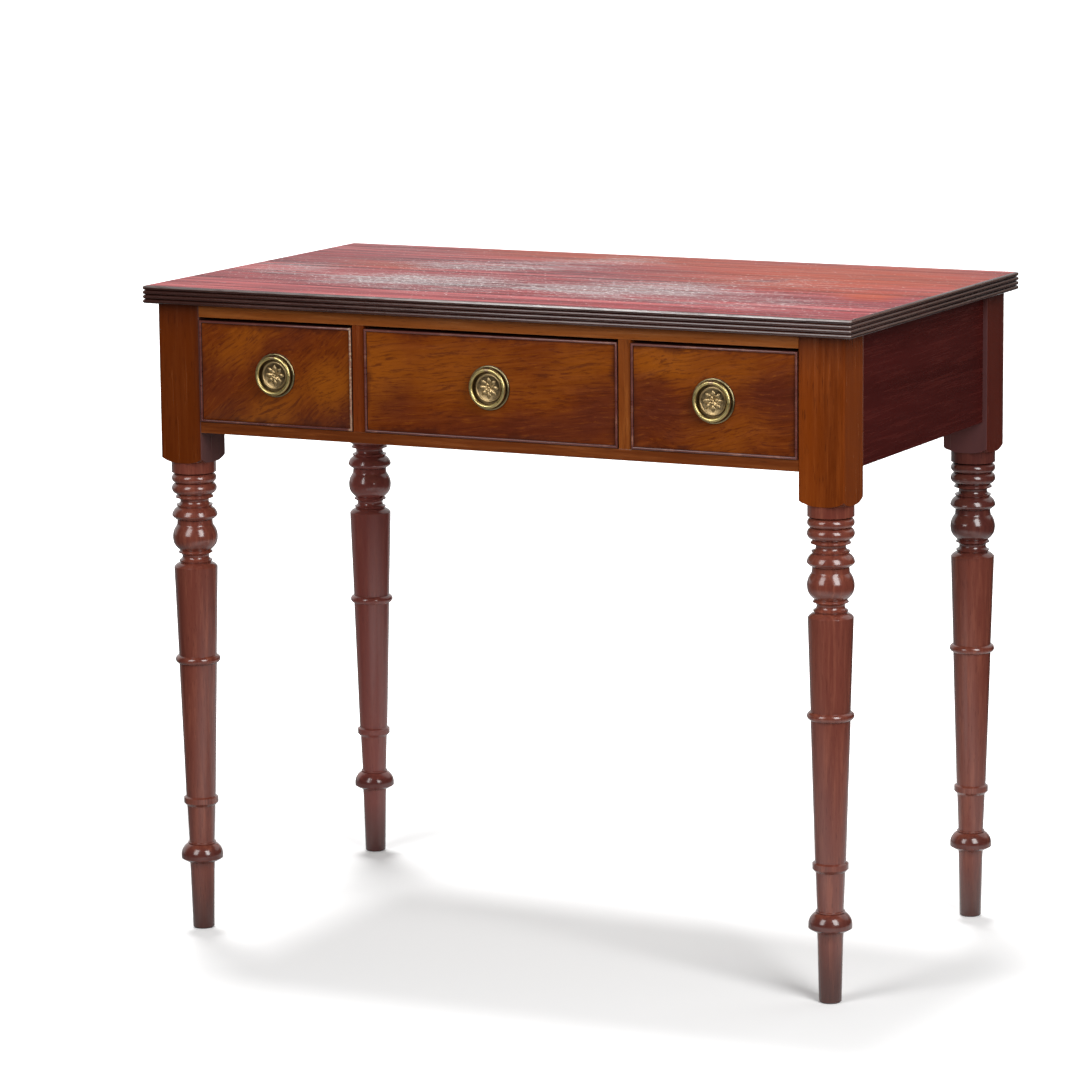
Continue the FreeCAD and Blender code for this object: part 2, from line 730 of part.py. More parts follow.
def make_strips(hand_name):
    """Runners under the drawers, guides beside them and kickers over them, on one side of the table."""
    hand = HANDS[hand_name]
    runner_z = ("Place.frieze_foot", "Size.bottom_rail_height")
    kicker_z = ("Place.opening_head", "Size.top_rail_height")
    guide_z = ("Place.opening_foot", "Size.guide_height")
    guide_x = {
        "outer": ("Place.post_inner_x", "Place.side_rail_inner - Place.post_inner_x"),
        "inner": centred("Place.divider_x", "Size.divider_width"),
    }
    for name, (middle, x_span, y_span) in strips.items():
        across = mirrored(x_span, hand)
        subpart(board(f"{name}_runner_{hand_name}", [across, y_span, runner_z]))
        subpart(board(f"{name}_guide_{hand_name}", [mirrored(guide_x[name], hand), y_span, guide_z]))
        kicker = subpart(board(f"{name}_kicker_{hand_name}", [across, y_span, kicker_z]))
        zero = origins[kicker.Name]
        for x, y in screw_places(middle, hand):
            local = [f"{x} - ({zero[0]})", f"{y} - ({zero[1]})", "0"]
            cylinder(kicker, "Subtractive", "screw_hole", screw_hole, "Size.top_rail_height", local)
            screw_cone(kicker, "Subtractive", screw_head_hole, screw_hole, local)


def screw_cone(body, kind, head_diameter, shank_diameter, local_place):
    """The countersunk head of a screw, or the countersink that takes it."""
    cone = body.newObject(f"PartDesign::{kind}Cone", "countersink")
    bind_sizes(cone, {
        "Radius1": f"({head_diameter}) / 2",
        "Radius2": f"({shank_diameter}) / 2",
        "Height": "Size.screw_head_height",
    })
    bind_place(cone, local_place)
    return cone


def make_screws():
    """Screws up through the kickers into the top."""
    shank = "Size.screw_diameter"
    zero = ("0", "0", "0")
    screws = []
    for middle, x_span, y_span in strips.values():
        for sign in HANDS.values():
            for x, y in screw_places(middle, sign):
                body = new_body("top_screw", (x, y, "Place.opening_head"))
                cylinder(body, "Additive", "shank", shank, "Size.screw_length", zero)
                screw_cone(body, "Additive", "Size.screw_head_diameter", shank, zero)
                screws.append(body)
    return group("top_screws", screws)


def make_glue_blocks():
    """Bevelled blocks in the corner between the back rail and the top, one behind each drawer."""
    blocks = []
    for place in (-1, 0, 1):
        body = board("glue_block", [
            centred(f"{place} * Place.side_drawer_x", "Size.glue_block_length"),
            ("Place.back_rail_inner - Size.glue_block_width", "Size.glue_block_width"),
            ("Place.top_foot - Size.glue_block_width", "Size.glue_block_width"),
        ])
        doc.recompute()
        block = body.Tip
        free_edge = [
            f"Edge{index}" for index, edge in enumerate(block.Shape.Edges, start=1)
            if abs(edge.BoundBox.YMax) + abs(edge.BoundBox.ZMax) < number("Size.glue_block_width") / 2
        ]
        bevel = body.newObject("PartDesign::Chamfer", "bevel")
        bevel.Base = (block, free_edge)
        bevel.setExpression("Size", "Size.glue_block_bevel_width")
        blocks.append(body)
    return group("glue_blocks", blocks)


# Each drawer has its middle along X and the width of its front.
drawers = {
    "left": ("-Place.side_drawer_x", "Place.side_drawer_width"),
    "centre": ("0", "Place.centre_drawer_width"),
    "right": ("Place.side_drawer_x", "Place.side_drawer_width"),
}
side_run = ("Place.drawer_foot", "Size.drawer_side_height")
back_run = ("Place.drawer_back_foot", "Place.drawer_back_height")
front_tail_length = "Size.drawer_front_thickness - Size.front_lap_thickness"
groove_height = "Size.bottom_thickness + Size.groove_clearance"
groove_z = ("Place.drawer_foot + Size.bottom_rise_height", groove_height)


def drawer_side_x(middle, width, sign):
    """The span along X of a drawer's side."""
    outer = f"{middle} + ({width}) / 2"
    if sign > 0:
        return (f"{outer} - Size.lining_thickness", "Size.lining_thickness")
    return (f"{middle} - ({width}) / 2", "Size.lining_thickness")


def make_stops():
    """Two stops behind each drawer front, on the front bottom rail."""
    stops = []
    for middle, width in drawers.values():
        for sign in HANDS.values():
            stops.append(board("drawer_stop", [
                centred(f"{middle} + {sign} * Size.stop_spacing / 2", "Size.stop_width"),
                ("Place.drawer_front_back + Size.stop_clearance", "Size.stop_depth"),
                ("Place.opening_foot", "Size.stop_height"),
            ]))
    return group("drawer_stops", stops)


def make_drawer_front(name, middle, width):
    """The front board: rebated for its bead, grooved for the bottom and cut for the sides' dovetails."""
    front_y = ("Place.front_face", "Size.drawer_front_thickness")
    full_x = centred(middle, width)
    full_z = ("Place.drawer_foot", "Place.drawer_front_height")
    body = board(f"drawer_front_{name}", [full_x, front_y, full_z])
    rebate_y = ("Place.front_face - Size.cut_overrun", "Size.bead_depth + Size.cut_overrun")
    bead_head = "Place.drawer_foot + Place.drawer_front_height - Size.bead_width"
    for z in ("Place.drawer_foot", bead_head):
        box(body, "Subtractive", "bead_rebate", [full_x, rebate_y, (z, "Size.bead_width")])
    for x in (f"{middle} - ({width}) / 2", f"{middle} + ({width}) / 2 - Size.bead_width"):
        box(body, "Subtractive", "bead_rebate", [(x, "Size.bead_width"), rebate_y, full_z])
    inside = centred(middle, f"{width} - 2 * Size.lining_thickness")
    groove_y = ("Place.drawer_front_back - Size.groove_depth", "Size.groove_depth")
    box(body, "Subtractive", "bottom_groove", [inside, groove_y, groove_z])
    for sign in HANDS.values():
        side_x = drawer_side_x(middle, width, sign)
        tail_row(body, "Subtractive", "socket", side_x, "Place.drawer_front_back",
                 front_tail_length, -1, side_run, FRONT_TAIL_COUNT)
    hole_place = (
        f"({width}) / 2",
        "-Size.cut_overrun",
        "Place.handle_z + Place.pivot_rise - Place.drawer_foot",
    )
    through = "Size.drawer_front_thickness + 2 * Size.cut_overrun"
    shank_hole = "Size.shank_diameter + 2 * Size.shank_clearance"
    cylinder(body, "Subtractive", "shank_hole", shank_hole, through, hole_place, FreeCAD.Vector(0, 1, 0))
    return subpart(body)


def make_drawer_side(name, hand_name, middle, width):
    """A lining board with dovetails at both ends and a groove for the bottom."""
    sign = HANDS[hand_name]
    x_span = drawer_side_x(middle, width, sign)
    run_y = ("Place.drawer_front_back", "Place.drawer_back_inner - Place.drawer_front_back")
    body = board(f"drawer_side_{name}_{hand_name}", [x_span, run_y, side_run])
    heel_y = ("Place.drawer_back_inner", "Size.lining_thickness")
    heel_z = ("Place.drawer_foot", "Size.bottom_rise_height + Size.bottom_thickness")
    box(body, "Additive", "heel", [x_span, heel_y, heel_z])
    tail_row(body, "Additive", "front_tail", x_span, "Place.drawer_front_back", front_tail_length, -1,
             side_run, FRONT_TAIL_COUNT)
    tail_row(body, "Additive", "back_tail", x_span, "Place.drawer_back_inner",
             "Size.lining_thickness", 1, back_run, BACK_TAIL_COUNT)
    inner_face = f"{x_span[0]} + Size.lining_thickness - Size.groove_depth" if sign < 0 else x_span[0]
    groove_y = ("Place.drawer_front_back", f"{run_y[1]} + Size.lining_thickness + Size.cut_overrun")
    box(body, "Subtractive", "bottom_groove", [(inner_face, "Size.groove_depth"), groove_y, groove_z])
    return subpart(body)


def make_drawer_back(name, middle, width):
    body = board(f"drawer_back_{name}", [
        centred(middle, width), ("Place.drawer_back_inner", "Size.lining_thickness"), back_run])
    for sign in HANDS.values():
        side_x = drawer_side_x(middle, width, sign)
        tail_row(body, "Subtractive", "socket", side_x, "Place.drawer_back_inner",
                 "Size.lining_thickness", 1, back_run, BACK_TAIL_COUNT)
    return subpart(body)


def make_drawer_bottom(name, middle, width):
    """A thin panel held in the grooves of the sides and of the front, and run under the back."""
    inside = f"{width} - 2 * Size.lining_thickness"
    tongue = "Size.groove_depth - Size.groove_clearance"
    panel_z = ("Place.drawer_foot + Size.bottom_rise_height", "Size.bottom_thickness")
    reach = "Place.drawer_depth - Size.drawer_front_thickness"
    body = board(f"drawer_bottom_{name}", [
        centred(middle, f"{inside} + 2 * ({tongue})"), ("Place.drawer_front_back", reach), panel_z])
    front_x = centred(middle, f"{inside} - 2 * Size.groove_clearance")
    front_y = (f"Place.drawer_front_back - ({tongue})", tongue)
    box(body, "Additive", "tongue", [front_x, front_y, panel_z])
    return subpart(body)


def make_cock_bead(name, middle, width):
    """Four mitred strips round a drawer front, each with a rounded nose that stands proud of it."""
    half = f"({width}) / 2"
    inner_half = f"({half} - Size.bead_width)"
    height = "Place.drawer_front_height"
    inner_height = f"{height} - Size.bead_width"
    outer = [(f"-{half}", "0"), (half, "0"), (half, height), (f"-{half}", height)]
    inner = [
        (f"-{inner_half}", "Size.bead_width"),
        (inner_half, "Size.bead_width"),
        (inner_half, inner_height),
        (f"-{inner_half}", inner_height),
    ]
    strips_round = []
    for index, corner in enumerate(outer):
        following = (index + 1) % len(outer)
        nose = "Place.front_face - Size.bead_projection"
        body = new_body(f"bead_strip_{name}", (middle, nose, "Place.drawer_foot"))
        outline = [corner, outer[following], inner[following], inner[index]]
        pad = body.newObject("PartDesign::Pad", "strip")
        pad.Profile = closed_sketch(body, "strip_outline", "XZ_Plane", outline)
        pad.Reversed = True
        pad.setExpression("Length", "Size.bead_depth + Size.bead_projection")
        doc.recompute()
        mitre_length = number("2 * Size.bead_width")
        nose_edges = [
            f"Edge{place}" for place, edge in enumerate(pad.Shape.Edges, start=1)
            if edge.Length > mitre_length and edge.BoundBox.YMax < number("Size.bead_projection") / 2
        ]
        rounded = body.newObject("PartDesign::Fillet", "nose")
        rounded.Base = (pad, nose_edges)
        rounded.setExpression("Radius", "Size.bead_width * Share.bead_nose_share")
        strips_round.append(body)
    return group(f"cock_bead_{name}", strips_round)


plate_outline = [
    ("0", "0"),
    (radius("plate"), "0"),
    (radius("plate"), "Size.plate_edge_height",
     (f"{radius('plate')} - Size.rim_width / 2", "Size.rim_height")),
    (f"{radius('plate')} - Size.rim_width", "Size.plate_floor_height"),
    (radius("medallion"), "Size.plate_floor_height"),
    (radius("medallion"), "Size.medallion_field_height",
     (f"{radius('medallion')} - Size.medallion_bead_width / 2", "Size.medallion_height")),
    (f"{radius('medallion')} - Size.medallion_bead_width", "Size.medallion_field_height"),
    (radius("medallion_boss"), "Size.medallion_crown_height"),
    ("0", "Size.medallion_crown_height"),
]


def make_handle(name, middle):
    """A stamped plate, a pierced post with its nut behind the drawer front, and a ring on the post."""
    across = FreeCAD.Vector(1, 0, 0)
    plate = new_body(f"handle_plate_{name}", (middle, "Place.front_face", "Place.handle_z"), True)
    revolve(plate, "Revolution", "stamping", plate_outline)
    shank_hole = "Size.shank_diameter + 2 * Size.shank_clearance"
    hole_depth = "Size.plate_floor_height + 2 * Size.cut_overrun"
    hole_place = ("0", "Place.pivot_rise", "-Size.cut_overrun")
    cylinder(plate, "Subtractive", "post_hole", shank_hole, hole_depth, hole_place)
    subpart(plate)

    pivot = (middle, "Place.front_face", "Place.handle_z + Place.pivot_rise")
    post = new_body(f"handle_post_{name}", pivot, True)
    plate_floor = "Size.plate_floor_height"
    shank_length = "Size.drawer_front_thickness + Size.nut_thickness + Size.shank_spare_length"
    cylinder(post, "Additive", "shank", "Size.shank_diameter", f"{shank_length} + {plate_floor}",
             ("0", "0", f"-({shank_length})"))
    cylinder(post, "Additive", "neck", "Size.knuckle_diameter", f"Place.ring_height - {plate_floor}",
             ("0", "0", plate_floor))
    cylinder(post, "Additive", "knuckle", "Size.knuckle_diameter", "Size.knuckle_width",
             ("-Size.knuckle_width / 2", "0", "Place.ring_height"), across)
    pin_hole = "Size.pin_diameter + 2 * Size.pin_clearance"
    cylinder(post, "Subtractive", "pin_hole", pin_hole, "Size.knuckle_width + 2 * Size.cut_overrun",
             ("-Size.knuckle_width / 2 - Size.cut_overrun", "0", "Place.ring_height"), across)
    subpart(post)

    nut = new_body(f"handle_nut_{name}", (middle, "Place.drawer_front_back", pivot[2]), True)
    prism = nut.newObject("PartDesign::AdditivePrism", "nut")
    prism.Polygon = NUT_SIDES
    bind_sizes(prism, {"Circumradius": "Size.nut_width / sqrt(3)", "Height": "Size.nut_thickness"})
    bind_place(prism, ("0", "0", "-Size.nut_thickness"))
    cylinder(nut, "Subtractive", "thread", shank_hole, "Size.nut_thickness + 2 * Size.cut_overrun",
             ("0", "0", "-Size.nut_thickness - Size.cut_overrun"))
    subpart(nut)

    ring_y = "Place.front_face - Place.ring_height"
    ring = new_body(f"handle_ring_{name}", (middle, ring_y, "Place.handle_z"), True)
    hoop = ring.newObject("PartDesign::AdditiveTorus", "hoop")
    bind_sizes(hoop, {"Radius1": "Size.ring_diameter / 2", "Radius2": "Size.ring_wire_diameter / 2"})
    gap = ring.newObject("PartDesign::SubtractiveBox", "gap")
    bind_sizes(gap, {
        "Length": "Place.ring_gap",
        "Width": "Size.ring_diameter",
        "Height": "2 * Size.ring_wire_diameter",
    })
    bind_place(gap, ("-Place.ring_gap / 2", "0", "-Size.ring_wire_diameter"))
    pin_length = "Place.ring_gap / 2 + Size.pin_root_length - Size.pin_end_gap_width / 2"
    for start in ("Size.pin_end_gap_width / 2", f"-Size.pin_end_gap_width / 2 - ({pin_length})"):
        pin_place = (start, "Place.pivot_rise", "0")
        cylinder(ring, "Additive", "pin", "Size.pin_diameter", pin_length, pin_place, across)
    subpart(ring)


make_top()
for end_name in ENDS:
    for hand_name in HANDS:
        make_leg(end_name, hand_name)
make_front_rails()
make_back_rail()
for hand_name in HANDS:
    make_side_rail(hand_name)
    make_divider(hand_name)
    make_strips(hand_name)
make_stops()
make_glue_blocks()
make_screws()
for name, (middle, width) in drawers.items():
    make_drawer_front(name, middle, width)
    for hand_name in HANDS:
        make_drawer_side(name, hand_name, middle, width)
    make_drawer_back(name, middle, width)
    make_drawer_bottom(name, middle, width)
    make_cock_bead(name, middle, width)
    make_handle(name, middle)

doc.recompute()
failed = [item.Label for item in doc.Objects if "Invalid" in item.State or "Error" in item.State]
failed += [piece.Label for piece in subparts if piece.Shape.isNull() or not piece.Shape.isValid()]
if failed:
    raise RuntimeError(f"these objects failed: {failed}")

os.makedirs("parts", exist_ok=True)
for piece in subparts:
    piece.Shape.exportStep(f"parts/{piece.Label}.step")
    print(piece.Label, len(piece.Shape.Solids), round(piece.Shape.Volume))
print(len(subparts), "sub-parts written")
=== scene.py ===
# %% [markdown]
# # A writing table, dressed for its photograph
# The frame is a small writing table that was modelled before: a reeded top, a frieze with drawers
# and four turned legs. This lesson keeps its sizes and its joints, and gives it edges, figure,
# polish and wear. Everything is in metres in the table's own frame: +X is right, -Y is the front
# and +Z is up.

# %% Load the frame
import json
import math

import bmesh
import bpy
from mathutils import Matrix, Vector

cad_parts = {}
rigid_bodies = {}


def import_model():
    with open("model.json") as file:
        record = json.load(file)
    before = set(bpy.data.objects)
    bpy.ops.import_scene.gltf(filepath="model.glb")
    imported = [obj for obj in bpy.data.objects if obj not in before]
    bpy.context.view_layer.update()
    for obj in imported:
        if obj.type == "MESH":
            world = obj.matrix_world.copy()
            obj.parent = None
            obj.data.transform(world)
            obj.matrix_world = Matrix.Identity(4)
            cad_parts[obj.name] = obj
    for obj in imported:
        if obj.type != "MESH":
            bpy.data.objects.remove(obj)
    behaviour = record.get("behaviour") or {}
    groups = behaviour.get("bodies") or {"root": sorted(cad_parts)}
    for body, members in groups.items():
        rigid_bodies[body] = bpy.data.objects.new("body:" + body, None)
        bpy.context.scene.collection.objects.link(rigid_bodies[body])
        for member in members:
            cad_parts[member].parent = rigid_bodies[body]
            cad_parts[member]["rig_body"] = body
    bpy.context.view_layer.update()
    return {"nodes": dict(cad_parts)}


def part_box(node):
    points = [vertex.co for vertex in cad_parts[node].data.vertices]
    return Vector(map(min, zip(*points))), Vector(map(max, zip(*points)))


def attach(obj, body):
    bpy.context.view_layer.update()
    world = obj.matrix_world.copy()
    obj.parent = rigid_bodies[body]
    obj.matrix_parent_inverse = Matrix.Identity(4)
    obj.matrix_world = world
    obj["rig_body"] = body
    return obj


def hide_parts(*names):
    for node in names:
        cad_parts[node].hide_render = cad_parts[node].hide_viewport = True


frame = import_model()
MM = 0.001
DRAWERS = ("left", "centre", "right")
HANDS = {"left": -1, "right": 1}
ENDS = ("front", "back")
bpy.context.scene.view_settings.view_transform = "Standard"

# %% [markdown]
# ## Camera
# The photograph was taken from the front right with a long lens, a little above the table. A camera
# can be aimed with a constraint, but a matrix built from the viewing direction keeps the slight
# roll as well.

# %% Camera
VIEW_PLACE = Vector((2.2613, -4.6372, 1.3222))
VIEW_YAW = math.radians(-26.56)
VIEW_PITCH = math.radians(9.668)
VIEW_ROLL = math.radians(-0.539)
VIEW_REACH = 200
FOCAL_PIXELS = 4626.6
PICTURE_PIXELS = 1080
SENSOR_WIDTH = 36

view_data = bpy.data.cameras.new("view")
view_data.sensor_width = SENSOR_WIDTH
view_data.lens = FOCAL_PIXELS / PICTURE_PIXELS * SENSOR_WIDTH
view_data.clip_end = VIEW_REACH
view = bpy.data.objects.new("view", view_data)
upright = Matrix.Rotation(-VIEW_YAW, 4, "Z") @ Matrix.Rotation(math.pi / 2 - VIEW_PITCH, 4, "X")
view.matrix_world = Matrix.Translation(VIEW_PLACE) @ upright @ Matrix.Rotation(VIEW_ROLL, 4, "Z")
bpy.context.scene.collection.objects.link(view)
bpy.context.scene.camera = view
print(f"lens {view_data.lens:.1f} mm")

# %% [markdown]
# ## Nodes in short
# Every finish below is a tree of shader nodes. Typing each node and each link takes many lines, so
# one helper adds a node, sets its options and fills its inputs with numbers, colours or other
# nodes' outputs.

# %% Node helpers
def add(tree, kind, inputs=None, **options):
    """Add a node; inputs may be values or the sockets that feed them."""
    node = tree.nodes.new(f"ShaderNode{kind}")
    for option, value in options.items():
        setattr(node, option, value)
    for socket, value in (inputs or {}).items():
        if isinstance(value, bpy.types.NodeSocket):
            tree.links.new(value, node.inputs[socket])
        else:
            node.inputs[socket].default_value = value
    return node


def maths(tree, operation, *values):
    """The result of one sum."""
    return add(tree, "Math", dict(enumerate(values)), operation=operation).outputs[0]


def off(tree, value, middle):
    """How far a value is from a middle, to either side."""
    return maths(tree, "ABSOLUTE", maths(tree, "SUBTRACT", value, middle))


def ramp(tree, value, low, high, start=0.0, end=1.0):
    """A value mapped from low..high to start..end, smoothly and without overshoot."""
    inputs = {"Value": value, "From Min": low, "From Max": high, "To Min": start, "To Max": end}
    return add(tree, "MapRange", inputs, interpolation_type="SMOOTHSTEP").outputs[0]


print("number helpers ready")

# %% Colour helpers
MIX_FACTOR, MIX_FIRST, MIX_SECOND, MIX_RESULT = 0, 6, 7, 2


def tint(tree, factor, first, second):
    """Two colours mixed by a factor."""
    node = add(tree, "Mix", data_type="RGBA")
    for socket, value in ((MIX_FACTOR, factor), (MIX_FIRST, first), (MIX_SECOND, second)):
        if isinstance(value, bpy.types.NodeSocket):
            tree.links.new(value, node.inputs[socket])
        else:
            node.inputs[socket].default_value = value if socket == MIX_FACTOR else (*value, 1)
    return node.outputs[MIX_RESULT]


def object_place(tree):
    """The table's own coordinates."""
    return add(tree, "TexCoord").outputs["Object"]


def parts_of(tree, vector):
    """The X, Y and Z sockets of a vector."""
    return add(tree, "SeparateXYZ", {0: vector}).outputs


def shader(name):
    """A new material with its tree and its Principled shader."""
    material = bpy.data.materials.new(name)
    material.use_nodes = True
    return material, material.node_tree, material.node_tree.nodes["Principled BSDF"]


print("colour helpers ready")

# %% [markdown]
# ## Stage
# A studio's white sweep is a floor that is bright to the camera but still takes a shadow. A lit
# floor alone would have to be overlit to look white, so what the camera sees directly gets a little
# glow on top. Polish mirrors the room, and a room that is white all round would lay a milky veil
# over dark wood. So the room is dim, with a wide white panel at the back left and a small one high
# at the back right, which lights the reeds of that end. To all but the camera the floor is white
# only towards the wide panel and near the table, and darker to the left.

# %% Floor finish
FLOOR_GLOW = 0.035
FLOOR_WHITE = (0.97, 0.97, 0.97)
MIRRORED_WHITE = (0.8, 0.8, 0.8)
MIRRORED_DARK = (0.04, 0.04, 0.04)
NEAR_FLOOR = 0.75
LEFT_FLOOR = 0.3
# direction of a white panel, and the cosines of the angles where it ends and where it is full
WIDE_PANEL = (Vector((-0.68, 0.72, 0.1)).normalized(), 0.4, 0.85)
HIGH_PANEL = (Vector((0.35, 0.68, 0.64)).normalized(), 0.88, 0.95)


def bright_side(tree, direction, panel, start, end):
    """One towards a white panel, nothing towards the rest of the room."""
    unit = add(tree, "VectorMath", {0: direction}, operation="NORMALIZE").outputs[0]
    facing = add(tree, "VectorMath", {0: unit, 1: panel}, operation="DOT_PRODUCT").outputs["Value"]
    return ramp(tree, facing, start, end)


floor_finish, tree, diffuse = shader("white_floor")
spot = object_place(tree)
parts = parts_of(tree, spot)
distance = add(tree, "VectorMath", {0: spot}, operation="LENGTH").outputs["Value"]
near = ramp(tree, distance, 1.6, 0.6, 0, NEAR_FLOOR)
lit = maths(tree, "MAXIMUM", bright_side(tree, spot, *WIDE_PANEL), near)
mirrored = maths(tree, "MULTIPLY", lit, ramp(tree, parts["X"], -0.8, 0.2, LEFT_FLOOR, 1))
to_camera = add(tree, "LightPath").outputs["Is Camera Ray"]
floor_colour = tint(tree, to_camera, tint(tree, mirrored, MIRRORED_DARK, MIRRORED_WHITE), FLOOR_WHITE)
tree.links.new(floor_colour, diffuse.inputs["Base Color"])
diffuse.inputs["Roughness"].default_value = 1
diffuse.inputs["Specular IOR Level"].default_value = 0
away = maths(tree, "MAXIMUM", ramp(tree, distance, 1.2, 2.4), ramp(tree, parts["Y"], 0.2, 0.7))
glow = maths(tree, "MULTIPLY", ramp(tree, away, 0, 1, FLOOR_GLOW, 1), to_camera)
light = add(tree, "Emission", {"Strength": glow}).outputs[0]
both = add(tree, "AddShader", {0: diffuse.outputs[0], 1: light})
tree.links.new(both.outputs[0], tree.nodes["Material Output"].inputs["Surface"])
print("floor finish:", floor_finish.name)

# %% Floor
FLOOR_SIZE = 60.0

floor_shape = bmesh.new()
bmesh.ops.create_grid(floor_shape, x_segments=1, y_segments=1, size=FLOOR_SIZE / 2)
floor_mesh = bpy.data.meshes.new("floor")
floor_shape.to_mesh(floor_mesh)
floor_shape.free()
floor_mesh.materials.append(floor_finish)
floor = bpy.data.objects.new("floor", floor_mesh)
bpy.context.scene.collection.objects.link(floor)
print("floor", FLOOR_SIZE, "m")

# %% Room
ROOM_DIM = 0.03
ROOM_WHITE = 0.75

world = bpy.data.worlds.new("studio")
bpy.context.scene.world = world
world.use_nodes = True
tree = world.node_tree
outward = add(tree, "TexCoord").outputs["Generated"]
sides = [bright_side(tree, outward, *panel) for panel in (WIDE_PANEL, HIGH_PANEL)]
panels = ramp(tree, maths(tree, "MAXIMUM", *sides), 0, 1, ROOM_DIM, ROOM_WHITE)
level = maths(tree, "MAXIMUM", panels, add(tree, "LightPath").outputs["Is Camera Ray"])
tree.links.new(level, tree.nodes["Background"].inputs["Strength"])
tree.nodes["Background"].inputs["Color"].default_value = (1, 1, 1, 1)
print("room", ROOM_DIM, "to", ROOM_WHITE)

# %% [markdown]
# ## Lamps
# One broad lamp hangs over the back of the table and throws the soft shadow on the floor. Two soft
# boxes stand in front and make the pairs of bright windows on the turned legs. All lamps look at
# the table's middle, so each one is given by two angles and a distance instead of a place.

# %% Lamps
AIM = Vector((0, 0, 0.5))
SUN_SPREAD = math.radians(14)
SOFTBOX_WIDTH, SOFTBOX_HEIGHT = 1.1, 2.1


def lamp(name, kind, azimuth, elevation, distance, energy):
    """A lamp that looks at the table; azimuth 0 is straight in front of it."""
    data = bpy.data.lights.new(name, kind)
    data.energy = energy
    tilt = Matrix.Rotation(math.radians(90 - elevation), 4, "X")
    turn = Matrix.Rotation(math.radians(azimuth), 4, "Z") @ tilt
    lamp_object = bpy.data.objects.new(name, data)
    lamp_object.matrix_world = Matrix.Translation(AIM) @ turn @ Matrix.Translation((0, 0, distance))
    bpy.context.scene.collection.objects.link(lamp_object)
    return data


overhead = lamp("overhead", "SUN", -146, 71, 3, 1.9)
overhead.angle = SUN_SPREAD
for name, azimuth, energy in (("softbox_left", -16, 40), ("softbox_right", 57, 62)):
    softbox = lamp(name, "AREA", azimuth, 28, 2.8, energy)
    softbox.shape = "RECTANGLE"
    softbox.size = SOFTBOX_WIDTH
    softbox.size_y = SOFTBOX_HEIGHT
print([item.name for item in bpy.data.lights])

# %% [markdown]
# ## Mahogany
# Mahogany has three scales of detail: slow bands of dark and light, fine streaks along the grain,
# and short open pores. A picture of wood would need unwrapping, so noise is stretched along the
# grain instead. The noise lives in the table's own space, so neighbouring boards never repeat each
# other.

# %% Noise and grain
WAVE_SCALE = 10


def noise(tree, vector, scale, detail=4, roughness=0.55, distortion=0.0):
    """Grey noise of about one spot per 1/scale metres across the grain."""
    inputs = {"Vector": vector, "Scale": scale, "Detail": detail, "Roughness": roughness,
              "Distortion": distortion}
    return add(tree, "TexNoise", inputs).outputs[0]


def wander(tree, scale, amount, stretch=(1, 1, 1), detail=4):
    """Object coordinates pushed about by noise, so that what is painted with them has ragged edges."""
    place = object_place(tree)
    drawn = add(tree, "Mapping", {"Vector": place, "Scale": stretch}).outputs[0]
    spread = {"Vector": drawn, "Scale": scale, "Detail": detail, "Roughness": 0.6}
    push = add(tree, "TexNoise", spread).outputs["Color"]
    centred = add(tree, "VectorMath", {0: push, 1: (0.5, 0.5, 0.5)}, operation="SUBTRACT").outputs[0]
    scaled = add(tree, "VectorMath", {0: centred, "Scale": amount}, operation="SCALE").outputs[0]
    return add(tree, "VectorMath", {0: place, 1: scaled}, operation="ADD").outputs[0]


def along_grain(tree, axis, turn=(0, 0, 0), stretch=0.055, wave=0.0):
    """Object coordinates drawn out along one axis, with straight or waved grain."""
    place = wander(tree, WAVE_SCALE, wave, detail=1) if wave else object_place(tree)
    turned = add(tree, "Mapping", {"Vector": place, "Rotation": turn}).outputs[0]
    scale = [stretch if letter == axis else 1 for letter in "xyz"]
    return add(tree, "Mapping", {"Vector": turned, "Scale": scale}).outputs[0]


print("grain helpers ready")

# %% Polished wood
BAND_SCALE = 22
STREAK_SCALE = 190
PORE_SCALE = 1100
PORE_SHADE = 0.35
RELIEF_DEPTH = 0.0004
COAT_ROUGHNESS = 0.1


def mahogany(name, axis, dark, middle, light, pore=0.5, coat=0.3, gloss=(0.17, 0.28), turn=(0, 0, 0),
             shine=0.5, relief=0.06, wave=0.0):
    """Polished wood with bands, streaks and pores along an axis."""
    material, tree, surface = shader(name)
    grain = along_grain(tree, axis, turn, wave=wave)
    bands = noise(tree, grain, BAND_SCALE, 3, 0.5, 0.6)
    streaks = noise(tree, grain, STREAK_SCALE, 5, 0.65, 0.3)
    pores = noise(tree, grain, PORE_SCALE, 2, 0.5)
    colour = tint(tree, ramp(tree, bands, 0.3, 0.7), dark, middle)
    colour = tint(tree, ramp(tree, streaks, 0.42, 0.75, 0, 0.85), colour, light)
    open_pores = ramp(tree, pores, 0.6, 0.7, 0, pore)
    colour = tint(tree, open_pores, colour, [part * PORE_SHADE for part in dark])
    tree.links.new(colour, surface.inputs["Base Color"])
    tree.links.new(ramp(tree, streaks, 0.3, 0.7, *gloss), surface.inputs["Roughness"])
    height = maths(tree, "SUBTRACT", maths(tree, "MULTIPLY", streaks, 0.25), open_pores)
    bump = add(tree, "Bump", {"Height": height, "Strength": relief, "Distance": RELIEF_DEPTH})
    tree.links.new(bump.outputs[0], surface.inputs["Normal"])
    surface.inputs["Specular IOR Level"].default_value = shine
    surface.inputs["Coat Weight"].default_value = coat
    surface.inputs["Coat Roughness"].default_value = COAT_ROUGHNESS
    return material


print("wood helper ready")

